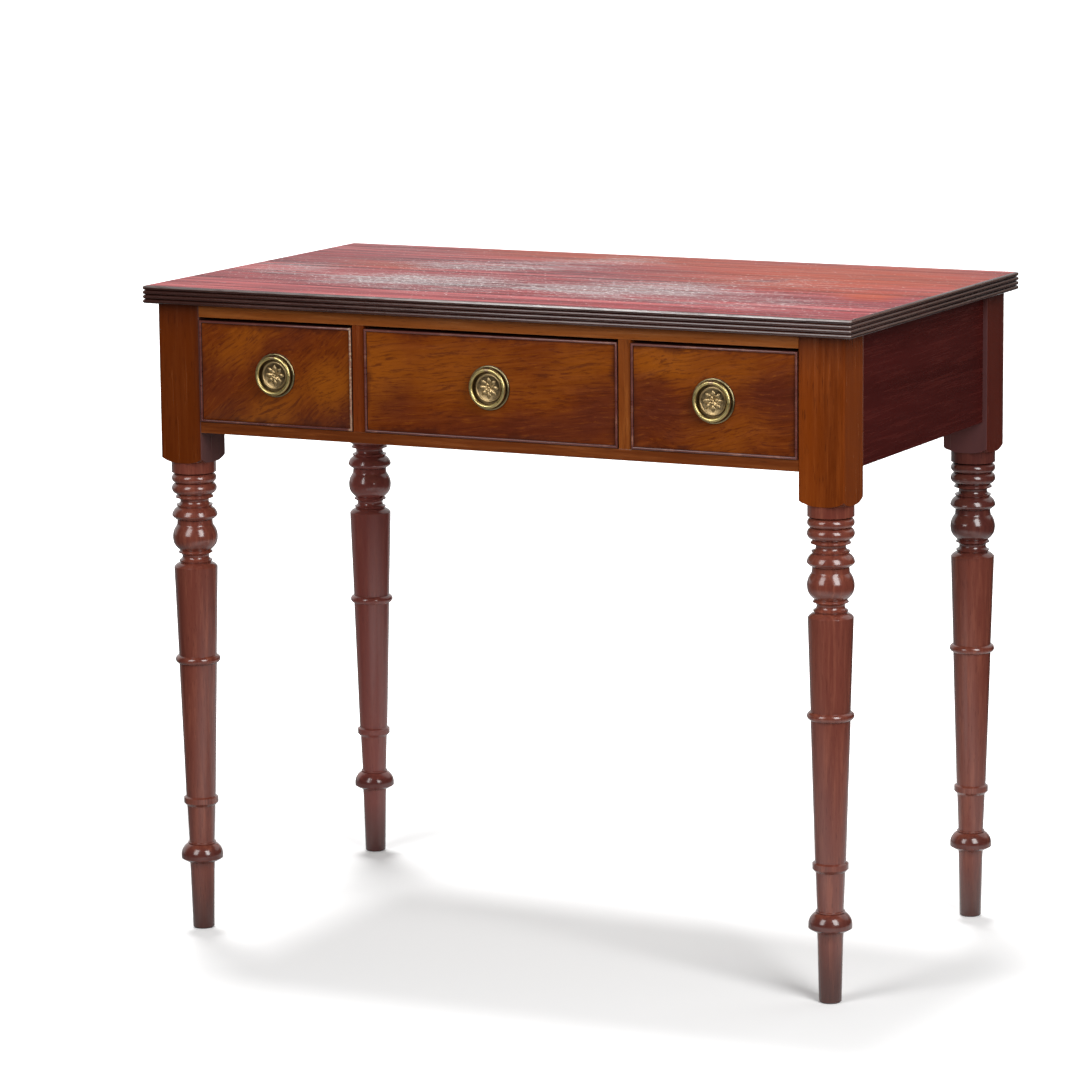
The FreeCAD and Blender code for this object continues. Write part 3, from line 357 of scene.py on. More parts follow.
# %% Layers over a wood
def relay(material, layer):
    """Put another layer between a wood's colour and its shader."""
    tree = material.node_tree
    surface = tree.nodes["Principled BSDF"]
    before = surface.inputs["Base Color"].links[0].from_socket
    tree.links.new(layer(tree, before), surface.inputs["Base Color"])
    return material


def oval(tree, place, centre, size, strength=1.0, turn=(0, 0, 0)):
    """A soft oval: full at its centre, nothing at its rim."""
    offset = add(tree, "VectorMath", {0: place, 1: centre}, operation="SUBTRACT").outputs[0]
    turned = add(tree, "Mapping", {"Vector": offset, "Rotation": turn}).outputs[0]
    scaled = add(tree, "VectorMath", {0: turned, 1: size}, operation="DIVIDE").outputs[0]
    reach = add(tree, "VectorMath", {0: scaled}, operation="LENGTH").outputs["Value"]
    return ramp(tree, reach, 1, 0.15, 0, strength)


print("layer helpers ready")

# %% [markdown]
# ### Posts and legs
# Each leg is one length of wood, but its post is golden while the turned part is redder and
# glossier, and age has made the four differ; besides, a painted sheen and painted light lie on some
# post faces and painted light on the back left leg. Four pairs of woods would do, but most of their
# numbers would repeat. One wood for all posts and one for all turned parts is toned by place
# instead, with ragged borders.

# %% Wood of the posts
FACE_SKIN = (1.5 * MM, 0.5 * MM)
post_shades = {
    "brown": (0.06, 0.0085, 0.001), "wine": (0.1, 0.01, 0.009), "arris": (0.05, 0.007, 0.003),
    "painted_sheen": (0.1, 0.058, 0.062), "painted_light": (0.26, 0.052, 0.006), "head_darkening": (0.045, 0.008, 0.003),
}


def tone_and_light_posts(tree, colour):
    """Brown on the left, wine red at the back, dark arrises, darker heads, painted sheen on two faces,
    painted light on one.
    """
    place = parts_of(tree, wander(tree, 26, 0.02, (1, 1, 0.25)))
    low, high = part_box("leg_front_right")
    middle, half = (low.x + high.x) / 2, (high.x - low.x) / 2
    colour = tint(tree, ramp(tree, place["X"], -0.1, -0.3, 0, 0.5), colour, post_shades["brown"])
    colour = tint(tree, ramp(tree, place["Y"], 0.0, 0.15, 0, 0.75), colour, post_shades["wine"])
    sideways = off(tree, maths(tree, "ABSOLUTE", place["X"]), middle)
    arris = ramp(tree, sideways, half - 7 * MM, half + 2 * MM, 0, 0.3)
    colour = tint(tree, arris, colour, post_shades["arris"])
    exact = parts_of(tree, object_place(tree))
    inner_face, front_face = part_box("leg_front_left")[1].x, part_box("leg_back_right")[0].y
    # painted sheen: the inner face of the front left post and the front face of the back right post get
    # a pale painted reflection
    for axis, face in (("X", inner_face), ("Y", front_face)):
        painted_sheen = ramp(tree, off(tree, exact[axis], face), *FACE_SKIN, 0, 0.6)
        colour = tint(tree, painted_sheen, colour, post_shades["painted_sheen"])
    # painted light: the outer face of the front right post is made lighter towards the front
    outer_face = ramp(tree, exact["X"], *(high.x - skin for skin in FACE_SKIN), 0, 0.35)
    outer = maths(tree, "MULTIPLY", outer_face, ramp(tree, place["Y"], 0.0, -0.1))
    colour = tint(tree, outer, colour, post_shades["painted_light"])
    # darker towards the heads of the posts, just under the top
    return tint(tree, ramp(tree, place["Z"], 0.675, 0.72, 0, 0.45), colour, post_shades["head_darkening"])


post_wood = mahogany("golden_mahogany", "z", (0.125, 0.022, 0.0015), (0.185, 0.034, 0.002),
                     (0.24, 0.05, 0.003), 0.55, 0.12, shine=0.3)
relay(post_wood, tone_and_light_posts)
print("posts:", post_wood.name, "with", len(post_shades), "tones")

# %% Wood of the turned legs
BELL_LEVEL = 0.087
NECK_LEVEL = 0.415
leg_shades = {
    "painted_light": (0.31, 0.078, 0.068), "plum": (0.03, 0.008, 0.012),
    "bell": (0.07, 0.02, 0.018), "foot": (0.045, 0.022, 0.02),
}


def tone_and_light_legs(tree, colour):
    """Paint light onto the back left leg, darken the back right one's neck, and darken bells and feet.
    """
    place = parts_of(tree, wander(tree, 60, 0.02))
    back = ramp(tree, place["Y"], 0.0, 0.15, 0, 0.5)
    # painted light: the back left leg is made paler and lighter
    left_back = maths(tree, "MULTIPLY", ramp(tree, place["X"], 0.0, -0.2), back)
    colour = tint(tree, left_back, colour, leg_shades["painted_light"])
    right_back = maths(tree, "MULTIPLY", ramp(tree, place["X"], 0.0, 0.2), back)
    upper = ramp(tree, place["Z"], NECK_LEVEL, NECK_LEVEL + 15 * MM)
    colour = tint(tree, maths(tree, "MULTIPLY", right_back, upper), colour, leg_shades["plum"])
    bell = ramp(tree, off(tree, place["Z"], BELL_LEVEL), 12 * MM, 3 * MM, 0, 0.6)
    colour = tint(tree, bell, colour, leg_shades["bell"])
    return tint(tree, ramp(tree, place["Z"], 0.09, 0.0, 0, 0.75), colour, leg_shades["foot"])


leg_wood = mahogany("turned_mahogany", "z", (0.13, 0.03, 0.02), (0.185, 0.047, 0.03),
                    (0.25, 0.072, 0.042), 0.45, 0.5, (0.16, 0.24))
relay(leg_wood, tone_and_light_legs)
print("legs:", leg_wood.name, "with", len(leg_shades), "tones")

# %% [markdown]
# ### Rails and linings
# The rails and dividers are cut from other boards than the posts: pale over the drawers, brown
# below them, and nearly black at the sides. Linings are a paler wood without polish. They all come
# from the same helper, and only their colours, grain direction and shine differ.

# %% Woods of the rails, dividers and linings
rail_wood = mahogany("rail_mahogany", "x", (0.11, 0.023, 0.004), (0.165, 0.037, 0.006),
                     (0.225, 0.058, 0.009), 0.5, 0.15, shine=0.35)
pale_rail_wood = mahogany("pale_rail_mahogany", "x", (0.17, 0.04, 0.007), (0.26, 0.07, 0.011),
                          (0.34, 0.105, 0.018), 0.5, 0.15, shine=0.35)
side_wood = mahogany("dark_mahogany", "y", (0.048, 0.0065, 0.0055), (0.066, 0.009, 0.0075),
                     (0.085, 0.013, 0.0095), 0.08, 0.0, (0.2, 0.3), shine=0.07, relief=0.015)
back_wood = mahogany("back_mahogany", "x", (0.07, 0.014, 0.008), (0.11, 0.024, 0.012),
                     (0.15, 0.036, 0.016), 0.4)
lining_wood, crosswise_lining = [
    mahogany(f"lining_oak_{axis}", axis, (0.17, 0.095, 0.045), (0.28, 0.17, 0.085), (0.38, 0.25, 0.14),
             0.4, 0.0, (0.55, 0.75)) for axis in "yx"]
divider_wood = mahogany("divider_mahogany", "z", (0.1, 0.016, 0.002), (0.15, 0.026, 0.003),
                        (0.19, 0.038, 0.004), 0.5, 0.1, shine=0.3)
pale_divider_wood = mahogany("pale_divider_mahogany", "z", (0.17, 0.038, 0.005), (0.24, 0.058, 0.007),
                             (0.29, 0.08, 0.009), 0.5, 0.15, shine=0.35)
print(len(bpy.data.materials), "materials")

# %% [markdown]
# ## From bmesh to a piece
# A bmesh is a sketch of a shape in memory. It becomes a piece when it is written to a mesh, shaded,
# given its finish and told which body carries it. Smooth shading with sharp edges by angle keeps
# flats flat and turnings round.

# %% Finish a piece
def finish_piece(name, shape, body, finishes, node, sharp=20):
    """Turn a bmesh into a piece that rides on a body and stands for a node of the frame."""
    bmesh.ops.recalc_face_normals(shape, faces=shape.faces)
    mesh = bpy.data.meshes.new(name)
    shape.to_mesh(mesh)
    shape.free()
    for finish in finishes:
        mesh.materials.append(finish)
    mesh.shade_smooth()
    mesh.set_sharp_from_angle(angle=math.radians(sharp))
    piece = bpy.data.objects.new(name, mesh)
    bpy.context.scene.collection.objects.link(piece)
    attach(piece, body)
    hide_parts(node)
    return piece


print("pieces can be finished")

# %% [markdown]
# ## Rounded profiles
# Reeds, beads and turned members are all drawn as profiles first: straight runs with an arc here
# and there. A curve object would draw them too, but points go straight into a bmesh. An arc is
# given by its two ends and one point it passes through, which can be measured on a real moulding.

# %% Arcs
def arc(start, passed, end, steps=10):
    """Points on the circle through three flat points, between the first and the last."""
    first, last = passed - start, end - start
    area = 2 * first.cross(last)
    centre = start + Vector((last.y * first.length_squared - first.y * last.length_squared,
                             first.x * last.length_squared - last.x * first.length_squared)) / area
    spoke = start - centre
    turn = -spoke.angle_signed(passed - centre) - (passed - centre).angle_signed(end - centre)
    return [centre + Matrix.Rotation(turn * step / steps, 2) @ spoke for step in range(1, steps)]


def profile(points, runs, across):
    """Lengthen a profile by runs that end at a point and bulge across by some distance."""
    for end, bulge in runs:
        if bulge:
            points += arc(points[-1], (points[-1] + end) / 2 + across * bulge, end)
        points.append(end)
    return points


print("profile helpers ready")

# %% [markdown]
# ## The reeded top
# The top is one board with four reeds run round its edge, which meet in mitres. A moulding can be
# swept along a curve, but a rectangle needs no curve: each point of the moulding is one rectangle,
# set in by some distance, and bridging the rectangles one after the other gives the reeds and their
# mitres at once.

# %% Mitred mouldings
def rectangle(shape, corners):
    """A closed loop of edges through four corners."""
    verts = [shape.verts.new(corner) for corner in corners]
    return [shape.edges.new((vert, verts[(index + 1) % 4])) for index, vert in enumerate(verts)]


def mitre_together(shape, loops, closed=False):
    """Bridge rectangles into a moulding; a closed one ends where it starts."""
    rings = [rectangle(shape, corners) for corners in loops]
    pairs = list(zip(rings, rings[1:])) + ([(rings[-1], rings[0])] if closed else [])
    for first, second in pairs:
        bmesh.ops.bridge_loops(shape, edges=first + second)
    return rings


print("moulding helpers ready")

# %% [markdown]
# ### Its colours
# The top is sun-bleached: crimson on the left, orange-brown to the right, with a grey bloom of old
# wax, partly a painted sheen, that gathers in streaks along the grain and in the pores. The large
# patches are soft ovals with ragged edges, and noise along the grain breaks them up into streaks
# and into white specks that are painted glints.

# %% Wood of the top
DEEP = 1.0
TOP_LEVEL = 0.74
brown_patches = (
    # centre x and y, half length and half width, strength
    (0.27, 0.1, 0.34, 0.2, 0.85), (0.1, 0.2, 0.5, 0.09, 0.6), (-0.27, 0.06, 0.1, 0.06, 0.55),
    (0.353, -0.037, 0.075, 0.06, 0.9), (-0.1, 0.22, 0.2, 0.06, 0.6),
)
bloom_and_sheen_patches = (
    (-0.164, -0.089, 0.28, 0.14, 1.0), (-0.14, 0.08, 0.22, 0.1, 0.85), (0.088, -0.085, 0.26, 0.15, 0.95),
    (-0.052, 0.165, 0.14, 0.08, 0.8), (0.27, -0.15, 0.26, 0.1, 0.6), (-0.35, -0.02, 0.12, 0.13, 0.6),
    (0.2, 0.04, 0.2, 0.08, 0.55), (-0.36, 0.22, 0.1, 0.08, 0.35),
)
scorch_patch = (0.192, 0.059, 0.035, 0.02, 0.7)
top_shades = {
    "lines": (0.09, 0.011, 0.014), "pale": (0.6, 0.14, 0.14), "brown": (0.46, 0.06, 0.0095),
    "brown_lines": (0.26, 0.03, 0.006), "scorch": (0.12, 0.03, 0.04), "bloom_and_sheen": (0.4, 0.39, 0.385),
    "painted_glints": (0.85, 0.82, 0.8),
}


def weather_and_sheen(tree, colour):
    """Lay dark and pale lines, brown patches, a scorch, grey bloom with painted sheen and painted glints
    over the crimson.
    """
    lines = noise(tree, along_grain(tree, "x", stretch=0.05), 85, 6, 0.75, 0.3)
    colour = tint(tree, ramp(tree, lines, 0.54, 0.42, 0, 0.9), colour, top_shades["lines"])
    pale = noise(tree, along_grain(tree, "x", stretch=0.035), 52, 5, 0.7, 0.2)
    colour = tint(tree, ramp(tree, pale, 0.5, 0.62, 0, 0.7), colour, top_shades["pale"])
    brown_share = ramp(tree, lines, 0.54, 0.4, 0, 0.8)
    brown = tint(tree, brown_share, top_shades["brown"], top_shades["brown_lines"])
    place = wander(tree, 9, 0.2, (0.4, 1, 1))

    def patch(x, y, length, width, strength):
        return oval(tree, place, (x, y, TOP_LEVEL), (length, width, DEEP), strength)

    for spot in brown_patches:
        colour = tint(tree, patch(*spot), colour, brown)
    colour = tint(tree, patch(*scorch_patch), colour, top_shades["scorch"])
    # grey bloom, partly old wax and partly a painted sheen of reflected light, gathered from the patches
    bloom_and_sheen = 0.0
    for spot in bloom_and_sheen_patches:
        bloom_and_sheen = maths(tree, "MAXIMUM", bloom_and_sheen, patch(*spot))
    streaked = noise(tree, along_grain(tree, "x", stretch=0.08), 130, 6, 0.8)
    streaks = maths(tree, "MULTIPLY_ADD", bloom_and_sheen, 0.24, streaked)
    colour = tint(tree, ramp(tree, streaks, 0.6, 0.82, 0, 0.7), colour, top_shades["bloom_and_sheen"])
    # painted glints: white specks where the bloom is
    dotted = noise(tree, along_grain(tree, "x", stretch=0.6), 250, 4, 0.8)
    painted_glints = maths(tree, "MULTIPLY_ADD", bloom_and_sheen, 0.08, dotted)
    return tint(tree, ramp(tree, painted_glints, 0.62, 0.68, 0, 0.9), colour, top_shades["painted_glints"])


top_wood = mahogany("crimson_mahogany", "x", (0.22, 0.029, 0.038), (0.335, 0.045, 0.054),
                    (0.43, 0.075, 0.071), 0.1, 0.0, (0.38, 0.55), shine=0.17)
relay(top_wood, weather_and_sheen)
print(len(brown_patches), "brown patches and", len(bloom_and_sheen_patches), "patches of bloom")

# %% [markdown]
# ### Its edge
# Polish and hands have turned the edge nearly black, and rubbed it pale again where it stands out;
# the pale upper arris at the front is partly a painted highlight. A second wood for the reeds keeps
# the two colours apart, and a place along the height, measured in reeds, finds every crest at once,
# so that the crests at the ends get a painted highlight. The ends get a copy whose streaks run along
# their own length.

# %% Wood of the reeds
REED_COUNT = 4
CREST_SHARE = 0.64
edge_shades = {"arris": (0.58, 0.54, 0.52), "rubbed": (0.11, 0.07, 0.06), "painted_end_highlight": (0.16, 0.1, 0.08)}


def wear_and_highlight_edge(tree, colour):
    """Rub the upper front arris pale (partly a painted highlight), the crests a little, and paint end
    crest highlights.
    """
    low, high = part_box("table_top")
    place = parts_of(tree, object_place(tree))
    height = place["Z"]
    front = ramp(tree, place["Y"], low.y + 4 * MM, low.y + 2 * MM)
    rightwards = ramp(tree, place["X"], -0.36, 0.1, 0.25, 1)
    rubbed = noise(tree, along_grain(tree, "x"), 260, 4, 0.7)
    # the pale upper arris at the front: partly wear, partly a painted highlight, more to the right
    arris = maths(tree, "MULTIPLY", ramp(tree, height, high.z - 2.6 * MM, high.z - 1.6 * MM), front)
    arris = maths(tree, "MULTIPLY", arris, ramp(tree, height, high.z - 0.2 * MM, high.z - 0.9 * MM))
    share = maths(tree, "MULTIPLY", rightwards, ramp(tree, rubbed, 0.38, 0.6, 0.2, 1))
    colour = tint(tree, maths(tree, "MULTIPLY", arris, share), colour, edge_shades["arris"])
    front_right = maths(tree, "MULTIPLY", rightwards, front)
    crests = maths(tree, "MULTIPLY", ramp(tree, rubbed, 0.5, 0.7, 0, 0.6), front_right)
    colour = tint(tree, crests, colour, edge_shades["rubbed"])
    # painted highlight on the upper part of each reed's crest at both ends
    rise = maths(tree, "SUBTRACT", height, low.z)
    reed = maths(tree, "FRACT", maths(tree, "DIVIDE", rise, (high.z - low.z) / REED_COUNT))
    crest = ramp(tree, off(tree, reed, CREST_SHARE), 0.2, 0.06)
    end_way = maths(tree, "ABSOLUTE", place["X"])
    end = ramp(tree, end_way, high.x - 3 * MM, high.x - 2 * MM, 0, 0.75)
    return tint(tree, maths(tree, "MULTIPLY", crest, end), colour, edge_shades["painted_end_highlight"])


reed_wood, end_reed_wood = [
    relay(mahogany(f"blackened_reeds_{axis}", axis, (0.024, 0.007, 0.005), (0.044, 0.013, 0.009),
                   (0.068, 0.021, 0.015), 0.3, 0.4, (0.2, 0.3)), wear_and_highlight_edge) for axis in "xy"]
print("reeds:", reed_wood.name, "and", end_reed_wood.name)

# %% Table top
REED_PROJECTION = 2.2 * MM
REED_STEPS = 10

low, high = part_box("table_top")
reed_height = (high.z - low.z) / REED_COUNT


def level_rectangle(inset, height):
    """The corners of the top's outline, set in by some distance."""
    west, south, east, north = low.x + inset, low.y + inset, high.x - inset, high.y - inset
    corners = ((west, south), (east, south), (east, north), (west, north))
    return [Vector((x, y, height)) for x, y in corners]


section = []
for reed in range(REED_COUNT):
    foot = Vector((REED_PROJECTION, low.z + reed * reed_height))
    crest = Vector((0, foot.y + reed_height / 2))
    head = Vector((REED_PROJECTION, foot.y + reed_height))
    section += [foot, *arc(foot, crest, head, REED_STEPS)]
section.append(head)
shape = bmesh.new()
rings = mitre_together(shape, [level_rectangle(point.x, point.y) for point in section])
bmesh.ops.edgeloop_fill(shape, edges=rings[0])
upper = bmesh.ops.edgeloop_fill(shape, edges=rings[-1])["faces"][0]
for face in shape.faces:
    face.normal_update()
    at_end = abs(face.normal.x) > abs(face.normal.y)
    face.material_index = 0 if face == upper else 2 if at_end else 1
finish_piece("top_board", shape, "table_frame", [top_wood, reed_wood, end_reed_wood],
             "table_top", sharp=60)
print("top with", REED_COUNT, "reeds of", round(reed_height / MM, 2), "mm")

# %% [markdown]
# ## Turned legs
# A leg is one length of wood, square at its head and turned below. On the lathe its members are cut
# one after the other, so they are listed the same way: how far the cutter drops, the radius it ends
# at, and how much its path bows. The spin operator then does the lathe's work, and a bridge joins
# the turning to the square post.

# %% Members of a leg
members = (
    # drop, radius, bulge, in millimetres from the underside of the post down to the floor
    (0.0, 25.0, 0.0), (12.5, 25.0, 0.0), (1.4, 20.5, 0.0), (10.7, 20.5, 4.7), (12.8, 19.0, 5.65),
    (3.4, 21.5, 0.0), (0.8, 21.5, 0.0), (7.9, 20.5, -5.0), (0.8, 20.5, 0.0), (2.0, 19.0, 0.0),
    (9.7, 25.6, 1.9), (5.0, 18.5, 1.42), (0.0, 19.75, 0.0), (4.8, 20.2, 0.0), (1.6, 20.75, -0.1),
    (20.6, 24.0, 2.75), (7.6, 17.25, 0.9), (2.2, 19.15, 0.0), (0.8, 19.15, 0.0), (8.4, 18.7, -3.9),
    (0.8, 18.7, 0.0), (2.0, 17.25, 0.0), (5.0, 24.5, 1.45), (101.6, 21.35, 0.0), (9.2, 21.35, 4.0),
    (154.2, 16.75, 0.0), (1.5, 19.4, 0.0), (6.0, 19.4, 0.0), (3.7, 15.9, 0.0), (42.0, 14.3, 0.0),
    (0.5, 15.9, 0.0), (1.0, 15.9, 0.0), (0.7, 15.0, 0.0), (0.3, 16.2, 0.0), (14.5, 23.6, 2.6),
    (2.0, 23.6, 0.0), (5.0, 14.3, 0.6), (14.0, 13.6, -0.15), (61.5, 12.15, 0.0), (1.5, 10.65, 0.0),
)
turned_length = sum(drop for drop, radius, bulge in members)
print(len(members), "members, together", round(turned_length, 1), "mm long")

# %% Turn a leg
LATHE_STEPS = 64
SHOULDER_RADIUS = 25.5


def turned_profile(axis, top):
    """Points down the leg's outline, from the underside of the post to the floor."""
    level = top
    runs = []
    for drop, radius, bulge in members:
        level -= drop * MM
        runs.append((Vector((radius * MM, level)), bulge * MM))
    points = profile([Vector((SHOULDER_RADIUS * MM, top))], runs, Vector((1, 0)))
    return [Vector((axis.x + point.x, axis.y, point.y)) for point in points]


def turn_leg(shape, axis, top):
    """Spin the profile, close its foot, and give back the open rim at its top."""
    verts = [shape.verts.new(point) for point in turned_profile(axis, top)]
    edges = [shape.edges.new(pair) for pair in zip(verts, verts[1:])]
    bmesh.ops.spin(shape, geom=verts + edges, cent=axis, axis=(0, 0, 1), angle=math.tau,
                   steps=LATHE_STEPS, use_merge=True)
    rims = [edge for edge in shape.edges if edge.is_boundary]
    foot = [edge for edge in rims if edge.verts[0].co.z < top / 2]
    bmesh.ops.edgeloop_fill(shape, edges=foot)
    return [edge for edge in rims if edge.verts[0].co.z > top / 2]


print("turning in", LATHE_STEPS, "steps")

# %% Square posts and whole legs
SHOULDER_HEIGHT = 6.0 * MM
SHOULDER_CURVE = 1.6
POST_EASE = 0.8 * MM
SQUARE_ANGLE = math.radians(60)


def square_post(shape, axis, half, foot, head, collar):
    """Bridge the turning's collar to a square, raise the square to its head and ease its corners."""
    square = bmesh.ops.create_circle(shape, segments=LATHE_STEPS, radius=half)["verts"]
    for vert in square:
        reach = max(abs(vert.co.x), abs(vert.co.y))
        corner_share = max(0, (vert.co.xy.length / reach - 1) / (math.sqrt(2) - 1))
        vert.co.xy *= half / reach
        vert.co += axis + Vector((0, 0, foot + SHOULDER_HEIGHT * corner_share ** SHOULDER_CURVE))
    skirt = list({edge for vert in square for edge in vert.link_edges})
    bmesh.ops.bridge_loops(shape, edges=collar + skirt)
    risen = bmesh.ops.extrude_edge_only(shape, edges=skirt)["geom"]
    for vert in (item for item in risen if isinstance(item, bmesh.types.BMVert)):
        vert.co.z = head
    bmesh.ops.edgeloop_fill(shape, edges=[item for item in risen if isinstance(item, bmesh.types.BMEdge)
                                          and all(vert.co.z == head for vert in item.verts)])
    bmesh.ops.recalc_face_normals(shape, faces=shape.faces)
    corners = [edge for edge in shape.edges if edge.calc_length() > 3 * half
               and edge.calc_face_angle(0) > SQUARE_ANGLE]
    bmesh.ops.bevel(shape, geom=corners, offset=POST_EASE, segments=3, profile=0.5, affect="EDGES",
                    material=-1)


def make_leg(node):
    """A leg with its square head, in one closed mesh."""
    low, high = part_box(node)
    axis = (low + high) / 2
    axis.z = 0
    post_foot = turned_length * MM
    shape = bmesh.new()
    collar = turn_leg(shape, axis, post_foot)
    square_post(shape, axis, (high.x - low.x) / 2, post_foot, high.z, collar)
    for face in shape.faces:
        face.material_index = 0 if face.calc_center_median().z > post_foot + MM else 1
    return finish_piece(f"turned_{node}", shape, "table_frame", [post_wood, leg_wood],
                        node)


for end in ENDS:
    for hand in HANDS:
        leg = make_leg(f"leg_{end}_{hand}")
print("each leg has", len(leg.data.polygons), "faces")

# %% [markdown]
# ## Boards
# Rails, dividers and linings are right in the frame, but their edges are sharper than any plane
# leaves them. A copy of each board is merged, its triangles are dissolved into flat faces, and its
# long edges get a small bevel that catches the light.

# %% Boards with eased edges
LONG_EDGE = 40 * MM
MERGE_DISTANCE = 0.002 * MM
FLAT_ANGLE = math.radians(1)


def eased_board(node, body, finish, width):
    """A copy of a board with a small bevel on its long edges."""
    shape = bmesh.new()
    shape.from_mesh(frame["nodes"][node].data)
    bmesh.ops.remove_doubles(shape, verts=shape.verts, dist=MERGE_DISTANCE)
    bmesh.ops.dissolve_limit(shape, angle_limit=FLAT_ANGLE, verts=shape.verts, edges=shape.edges)
    sharp = [edge for edge in shape.edges if edge.is_manifold and edge.calc_length() > LONG_EDGE
             and edge.calc_face_angle() > SQUARE_ANGLE]
    bmesh.ops.bevel(shape, geom=sharp, offset=width, segments=2, profile=0.5, affect="EDGES",
                    material=-1)
    return finish_piece(f"eased_{node}", shape, body, [finish], node)


print("edges over", LONG_EDGE / MM, "mm get eased")

# %% [markdown]
# ## Figured drawer fronts
# The three fronts are cut from showy wood and no two match. Each one gets its own grain direction,
# its own slow wave in the grain, and a few listed patches, golden or plum, given as shares of
# the front's width and height. Grime and painted shade darken all its borders.

# %% Patches and figure of the fronts
GOLD = (0.28, 0.072, 0.004)
PLUM = (0.085, 0.014, 0.006)
front_patches = {
    # share of width and height, half length and half height in metres, colour, strength
    "left": (
        (0.86, 0.42, 0.03, 0.035, GOLD, 0.9), (0.45, 0.12, 0.06, 0.02, GOLD, 0.8),
        (0.3, 0.8, 0.05, 0.02, GOLD, 0.6), (0.1, 0.35, 0.035, 0.03, PLUM, 0.6),
        (0.55, 0.8, 0.07, 0.02, PLUM, 0.45), (0.95, 0.08, 0.03, 0.025, PLUM, 0.7),
    ),
    "centre": (
        (0.05, 0.6, 0.03, 0.05, GOLD, 0.7), (0.3, 0.65, 0.1, 0.03, GOLD, 0.55),
        (0.88, 0.75, 0.05, 0.025, GOLD, 0.55), (0.55, 0.45, 0.08, 0.02, GOLD, 0.35),
        (0.6, 0.08, 0.16, 0.022, PLUM, 0.7), (0.13, 0.3, 0.03, 0.025, PLUM, 0.6),
        (0.92, 0.35, 0.03, 0.03, PLUM, 0.65),
    ),
    "right": (
        (0.2, 0.85, 0.05, 0.025, GOLD, 0.85), (0.55, 0.75, 0.05, 0.02, GOLD, 0.5),
        (0.55, 0.2, 0.05, 0.025, GOLD, 0.45), (0.88, 0.55, 0.045, 0.03, PLUM, 0.85),
        (0.12, 0.4, 0.035, 0.035, PLUM, 0.7), (0.3, 0.3, 0.06, 0.025, PLUM, 0.45),
    ),
}
figure_turns = {"left": 32, "centre": 6, "right": 10}
figure_waves = {"left": 0.045, "centre": 0.016, "right": 0.035}
print({name: len(patches) for name, patches in front_patches.items()}, "patches")

# %% Woods of the fronts
PATCH_SPREAD = 1.5
front_shades = {
    "dark": (0.07, 0.012, 0.003), "light": (0.32, 0.085, 0.006), "grime_and_shade": (0.05, 0.009, 0.004),
}


def figure_front(name):
    """The finish of one drawer front."""
    low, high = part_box(f"drawer_front_{name}")
    turn = (0, math.radians(figure_turns[name]), 0)
    wave = figure_waves[name]

    def layers(tree, colour):
        place = wander(tree, 28, 0.045)
        for across, up, length, height, paint, strength in front_patches[name]:
            centre = (low.x + across * (high.x - low.x), low.y, low.z + up * (high.z - low.z))
            spread = (length * PATCH_SPREAD, DEEP, height * PATCH_SPREAD)
            colour = tint(tree, oval(tree, place, centre, spread, strength, turn), colour, paint)
        fine = noise(tree, along_grain(tree, "x", turn, 0.08, wave), 430, 6, 0.75, 0.5)
        colour = tint(tree, ramp(tree, fine, 0.5, 0.38, 0, 0.65), colour, front_shades["dark"])
        colour = tint(tree, ramp(tree, fine, 0.54, 0.68, 0, 0.35), colour, front_shades["light"])
        parts = parts_of(tree, place)
        # darker towards every border: partly grime, partly painted shade beside the beads
        for axis, start, end in (("X", low.x, high.x), ("Z", low.z, high.z)):
            half = (end - start) / 2
            off_middle = off(tree, parts[axis], (start + end) / 2)
            grime_and_shade = ramp(tree, off_middle, half - 8 * MM, half + 2 * MM, 0, 0.65)
            colour = tint(tree, grime_and_shade, colour, front_shades["grime_and_shade"])
        return colour

    wood = mahogany(f"figured_front_{name}", "x", (0.13, 0.024, 0.0025), (0.17, 0.033, 0.003),
                    (0.21, 0.044, 0.0035), 0.3, 0.12, (0.16, 0.26), turn, shine=0.3, wave=wave)
    return relay(wood, layers)


front_woods = {name: figure_front(name) for name in DRAWERS}
print([wood.name for wood in front_woods.values()])

# %% Rails, dividers, fronts and linings
FRAME_EASE = 0.5 * MM
FRONT_EASE = 0.2 * MM
LINING_EASE = 0.6 * MM

for node, finish in (
    ("front_top_rail", pale_rail_wood), ("front_bottom_rail", rail_wood), ("back_rail", back_wood),
    ("side_rail_left", side_wood), ("side_rail_right", side_wood),
    ("drawer_divider_left", divider_wood), ("drawer_divider_right", pale_divider_wood),
):
    eased_board(node, "table_frame", finish, FRAME_EASE)
for name in DRAWERS:
    body = f"drawer_{name}"
    eased_board(f"drawer_front_{name}", body, front_woods[name], FRONT_EASE)
    for node, finish in (
        (f"drawer_side_{name}_left", lining_wood), (f"drawer_side_{name}_right", lining_wood),
        (f"drawer_back_{name}", crosswise_lining), (f"drawer_bottom_{name}", crosswise_lining),
    ):
        eased_board(node, body, finish, LINING_EASE)

# %% [markdown]
# ## Pieces that stay as they are
# Runners, guides, kickers, stops and glue blocks are plain sawn strips that nobody sees unless a
# drawer is out. Their shapes in the frame are right as they are, so they only get the unpolished
# wood of the linings.

# %% Inner strips
INNER_STRIPS = ("runner", "guide", "kicker", "stops", "blocks")


def refinish(piece, finish):
    """Give a piece of the frame another finish."""
    piece.data.materials.clear()
    piece.data.materials.append(finish)


inner = [piece for node, piece in frame["nodes"].items()
         if piece["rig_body"] == "table_frame" and any(word in node for word in INNER_STRIPS)]
for piece in inner:
    refinish(piece, lining_wood)
print(len(inner), "inner strips finished")

# %% [markdown]
# ## Cock beads
# A cock bead is a thin strip round a drawer front that stands a little proud of it, with a rounded
# nose. It is the same kind of thing as the reeds, a moulding that meets itself in mitres, so the
# same bridge of rectangles makes it.

# %% Wood of the beads
BEAD_PROUD = 1.35 * MM
bead_shades = {"root": (0.02, 0.005, 0.004), "rubbed": (0.31, 0.13, 0.08), "bare": (0.46, 0.35, 0.23)}


